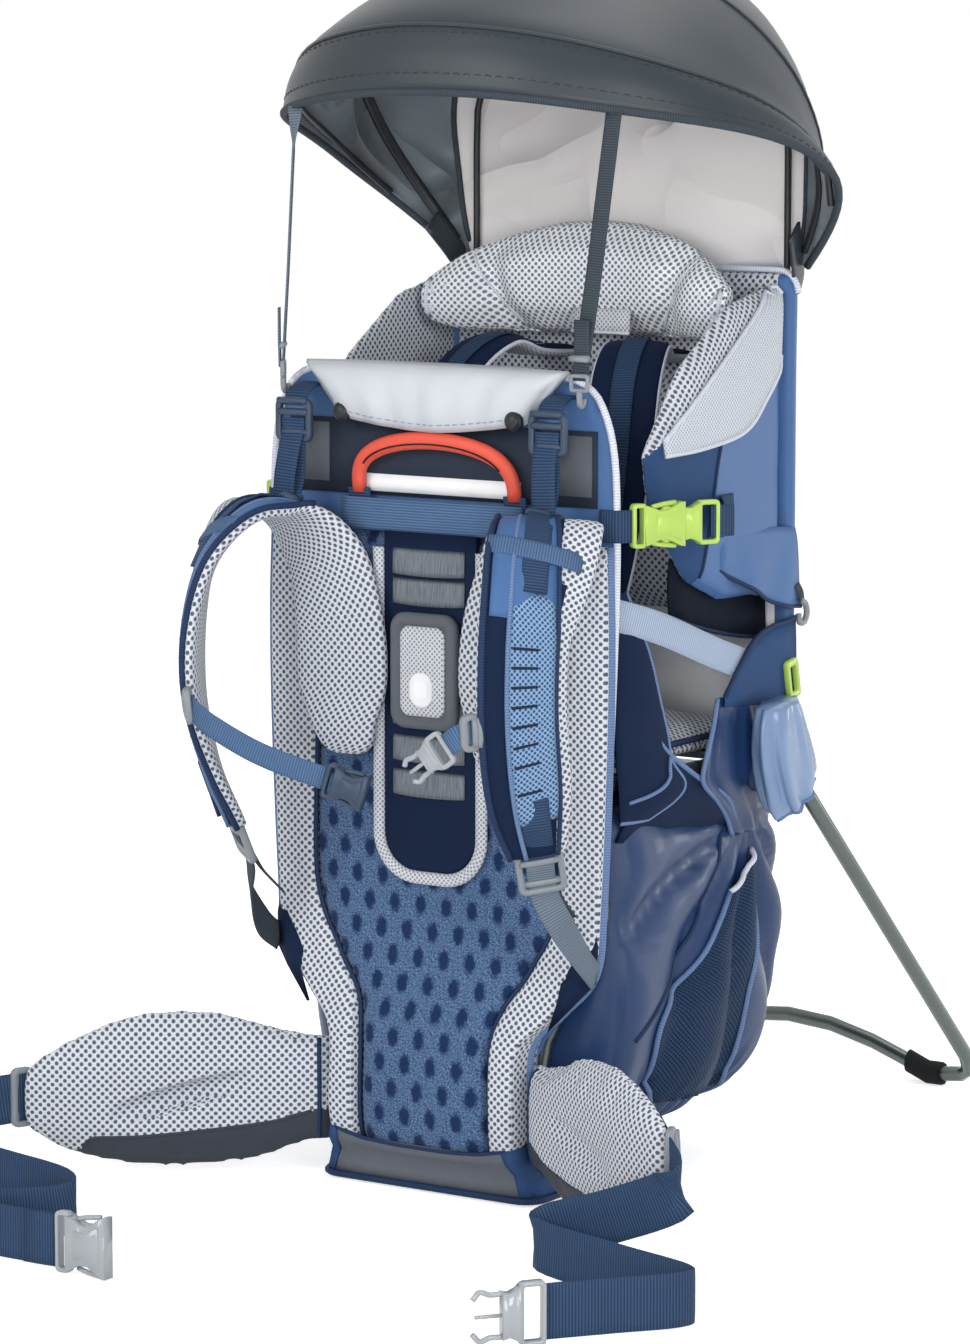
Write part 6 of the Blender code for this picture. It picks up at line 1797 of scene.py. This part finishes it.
def make_hold(word, side):
    """Hold-down strap with a small hook; the left one twists to hang with its edge to the front."""
    body = "canopy_hold_" + word
    across = RIGHT if side > 0 else Vector((-0.50, 0.86, 0))
    mat = "dark_web" if side > 0 else "ash_web"
    top, hook = Vector((side * 0.14641, 0.02611, 0.84253)), Vector((side * 0.1365, -0.006, 0.632))
    shares = (0.0, 0.04, 0.08, 0.12, 0.16, 0.3, 0.6, 1.0)
    route = [top.lerp(hook, share) for share in shares[:-1]] + [hook + UP * 0.011]
    twist = [RIGHT.lerp(across * side, min(share / 0.16, 1)) for share in shares]
    webbing("hold_web_" + word, route, twist, 0.0140, mat, body, "canopy_strap_" + word, slot="slate_nylon",
            thickness=0.0018)
    out = UP.cross(across).normalized() * 0.0030
    tail = [hook + UP * 0.009 + out * 0.8, hook + UP * 0.030 + out, hook + UP * 0.055 + out]
    webbing("hold_tail_" + word, tail, across, 0.0135, mat, body, slot="slate_nylon", thickness=0.0018)
    outer = outline_rect(0.0085, 0.0070, 0.0026, 3)
    inner = outline_rect(0.0060, 0.0040, 0.0014, 3)
    loop = plate("loop", outer, 0.0036, hook + UP * 0.0075, across, UP, M["grey_plastic"], inner)
    bend = curve([hook + Vector(step) for step in ((0, 0, 0.0015), (0, 0, -0.004), (0, 0.0008, -0.0085),
                                                   (0, 0.0038, -0.0105), (0, 0.0062, -0.0080),
                                                   (0, 0.0064, -0.0045))], 4)
    claw = tube("claw", bend, 0.0024, M["grey_plastic"], flat=0.8)
    slide = tube("slide", [hook + UP * 0.026 + across * (0.008 * t) for t in (-1, 0, 1)], 0.0030,
                 M["grey_plastic"], flat=0.8)
    piece(join("hold_hook_" + word, [loop, claw, slide]), body, "plastic")


# Stand and frame

def smooth_copy(node, name, mat, body, slot, limit=radians(38)):
    """Copy of a solid with joined points, smooth shading and sharp edges kept."""
    shape = joined(node)
    for face in shape.faces:
        face.smooth = True
    for edge in shape.edges:
        edge.smooth = len(edge.link_faces) == 2 and edge.calc_face_angle() < limit
    return piece(box_uv(made(name, shape, [mat])), body, slot, node)


def make_frame():
    """Tubes, rods, brackets and stand, with the stand's sleeves."""
    for node, name, mat, body, slot in (
            ("frame_tube", "frame_loop", "tube", "pack", "tube"),
            ("seat_frame", "seat_frame_loop", "tube", "pack", "tube"),
            ("kickstand_tube", "stand_tube", "tube", "kickstand", "tube"),
            ("canopy_front_rod", "front_rod", "rod", "canopy", "rod"),
            ("canopy_rear_rod", "rear_rod", "rod", "canopy", "rod")):
        smooth_copy(node, name, M[mat], body, slot, radians(60))
    for word, side in SIDES:
        smooth_copy("pivot_bracket_" + word, "bracket_" + word, M["plastic"], "pack", "plastic")
        smooth_copy("kickstand_foot_" + word, "stand_foot_" + word, M["rubber"], "kickstand", "rubber")
        make_sleeve(word, side)


def make_sleeve(word, side):
    """Gathered cloth cover over the top of the stand."""
    line = curve([(side * 0.1900, y, z) for y, z in (
        (0.204, 0.376), (0.206, 0.362), (0.211, 0.340), (0.219, 0.318), (0.226, 0.303), (0.230, 0.296))], 5)
    rings = []
    for i, (point, way) in enumerate(zip(line, ways(line))):
        t = i / (len(line) - 1)
        across = Vector((0, way.z, -way.y)).normalized()
        swell = sin(pi * min(t * 0.72 + 0.14, 1.0)) ** 0.7
        rings.append([])
        for k in range(48):
            turn = 2 * pi * k / 48
            pleat = 1 + (0.20 * sin(turn * 7 + t * 1.2) + 0.08 * sin(turn * 11 - t * 4)) * (0.35 + 0.5 * t)
            wide, thin = 0.010 + 0.024 * swell, 0.0105 + 0.0050 * swell
            rings[-1].append(point + (across * (wide * cos(turn)) + RIGHT * (thin * sin(turn))) * pleat)
    sleeve = solid("stand_sleeve_" + word, rings, M["sleeve"])
    piece(sleeve, "kickstand", "blue_nylon")
    trim("sleeve_hem_" + word, rings[-1], 0.0016, "piping", "kickstand", loop=True)


# Build

def build():
    """Make every piece."""
    make_frame()
    fins = {word: pad_from("hip_fin_" + word, "fin_" + word, 0.0038, -0.0008, 18) for word, side in SIDES}
    walls = {word: pad_from("side_wall_" + word, "wall_" + word, 0.0042, 0.0010, 4) for word, side in SIDES}
    rear = pad_from("rear_wall", "rear_cover", 0.0055, 0.0008, 4)
    backrest = pad_from("backrest_pad", "backrest_cover", 0.0050, 0.0012, 3)
    headrest = pad_from("headrest", "headrest_cover", 0.0042, 0.0012, 3)
    seat = pad_from("seat_pad", "seat_cover", 0.0055, 0.0012, 3)
    pads = [(rear, REAR, 0.002), (backrest, TO_WEARER, 0.004), (headrest, TO_WEARER, 0.005),
            (seat, UP, 0.004)]
    for word, side in SIDES:
        pads.append((fins[word], fin_axes(side)[2], 0.005))
        pads.append((walls[word], (side, 0, 0), 0.003))
    stuff(pads)
    make_back_panel()
    make_base()
    make_adjuster()
    make_plate()
    make_drool_pad()
    make_handle()
    make_rear(rear, backrest, headrest, seat)
    make_bag()
    for word, side in SIDES:
        make_shoulder(word, side)
        make_load_lifter(word, side)
        make_sternum(word, side)
        make_hip(word, side, fins[word])
        make_wall(word, side, walls[word])
        make_child_strap(word, side)
        make_entry(word, side)
    make_shade()


build()


# Floor, light and camera

WORLD_LIGHT = 0.48
FLOOR_GLOW = 0.62


def seen(tree):
    """1 for a ray from the camera, or one off a glossy or through a clear surface, and 0 for light."""
    path = add(tree, "LightPath").outputs
    direct = calc(tree, "MAXIMUM", path["Is Camera Ray"], path["Is Transmission Ray"])
    return calc(tree, "MAXIMUM", direct, path["Is Glossy Ray"])


def make_floor():
    """Plain pale floor that shows white and keeps the shadow."""
    rows = [[(x, y, 0) for x in (-8, 0, 8)] for y in (-8, 0, 12)]
    mat = bpy.data.materials.new("pale_floor")
    mat.use_nodes = True
    tree = mat.node_tree
    tree.nodes.clear()
    out = add(tree, "OutputMaterial")
    matt = add(tree, "BsdfDiffuse", {"Color": (0.86, 0.86, 0.86, 1)})
    strength = calc(tree, "MULTIPLY", seen(tree), FLOOR_GLOW)
    glow = add(tree, "Emission", {"Color": (1, 1, 1, 1), "Strength": strength})
    both = add(tree, "AddShader", {0: matt.outputs[0], 1: glow.outputs[0]})
    tree.links.new(both.outputs[0], out.inputs["Surface"])
    floor = skin("floor", rows, mat)


def make_light():
    """Soft studio light on a white world."""
    world = bpy.data.worlds.new("studio")
    bpy.context.scene.world = world
    world.use_nodes = True
    tree = world.node_tree
    back = tree.nodes["Background"]
    level = calc(tree, "MULTIPLY_ADD", seen(tree), 1 - WORLD_LIGHT, WORLD_LIGHT)
    tree.links.new(level, back.inputs["Strength"])
    back.inputs["Color"].default_value = (1, 1, 1, 1)
    for name, place, aim, size, power in (("key", (-0.9, -3.1, 1.7), (0, 0.1, 0.55), 1.4, 40.0),
                                          ("front", (1.6, -2.7, 0.70), (0, 0.2, 0.66), 1.0, 32.0),
                                          ("fill", (2.9, -1.6, 1.3), (0, 0.1, 0.50), 1.0, 36.0),
                                          ("rim", (2.1, 2.7, 0.60), (0.15, 0.15, 0.20), 0.9, 20.0),
                                          ("top", (0.3, 0.9, 3.2), (0, 0.1, 0.4), 2.0, 30.0)):
        lamp = bpy.data.lights.new(name, "AREA")
        lamp.energy, lamp.size = power, size
        obj = link(name, lamp)
        obj.location = place
        obj.rotation_euler = (Vector(aim) - Vector(place)).to_track_quat("-Z", "Y").to_euler()


def make_camera():
    """Camera placed as for the photograph."""
    turn, tilt = radians(33.195), radians(7.870)
    forward = Vector((-sin(turn) * cos(tilt), cos(turn) * cos(tilt), -sin(tilt)))
    right = Vector((cos(turn), sin(turn), 0))
    up = right.cross(forward)
    data = bpy.data.cameras.new("camera")
    data.sensor_width, data.lens = 36, 131.77
    data.clip_end = 60
    obj = link("camera", data)
    turned = Matrix((right, up, -forward)).transposed()
    obj.matrix_world = Matrix.Translation((2.09714, -3.13227, 0.93071)) @ turned.to_4x4()
    bpy.context.scene.camera = obj


make_floor()
make_light()
make_camera()
bpy.context.scene.view_settings.view_transform = "Standard"
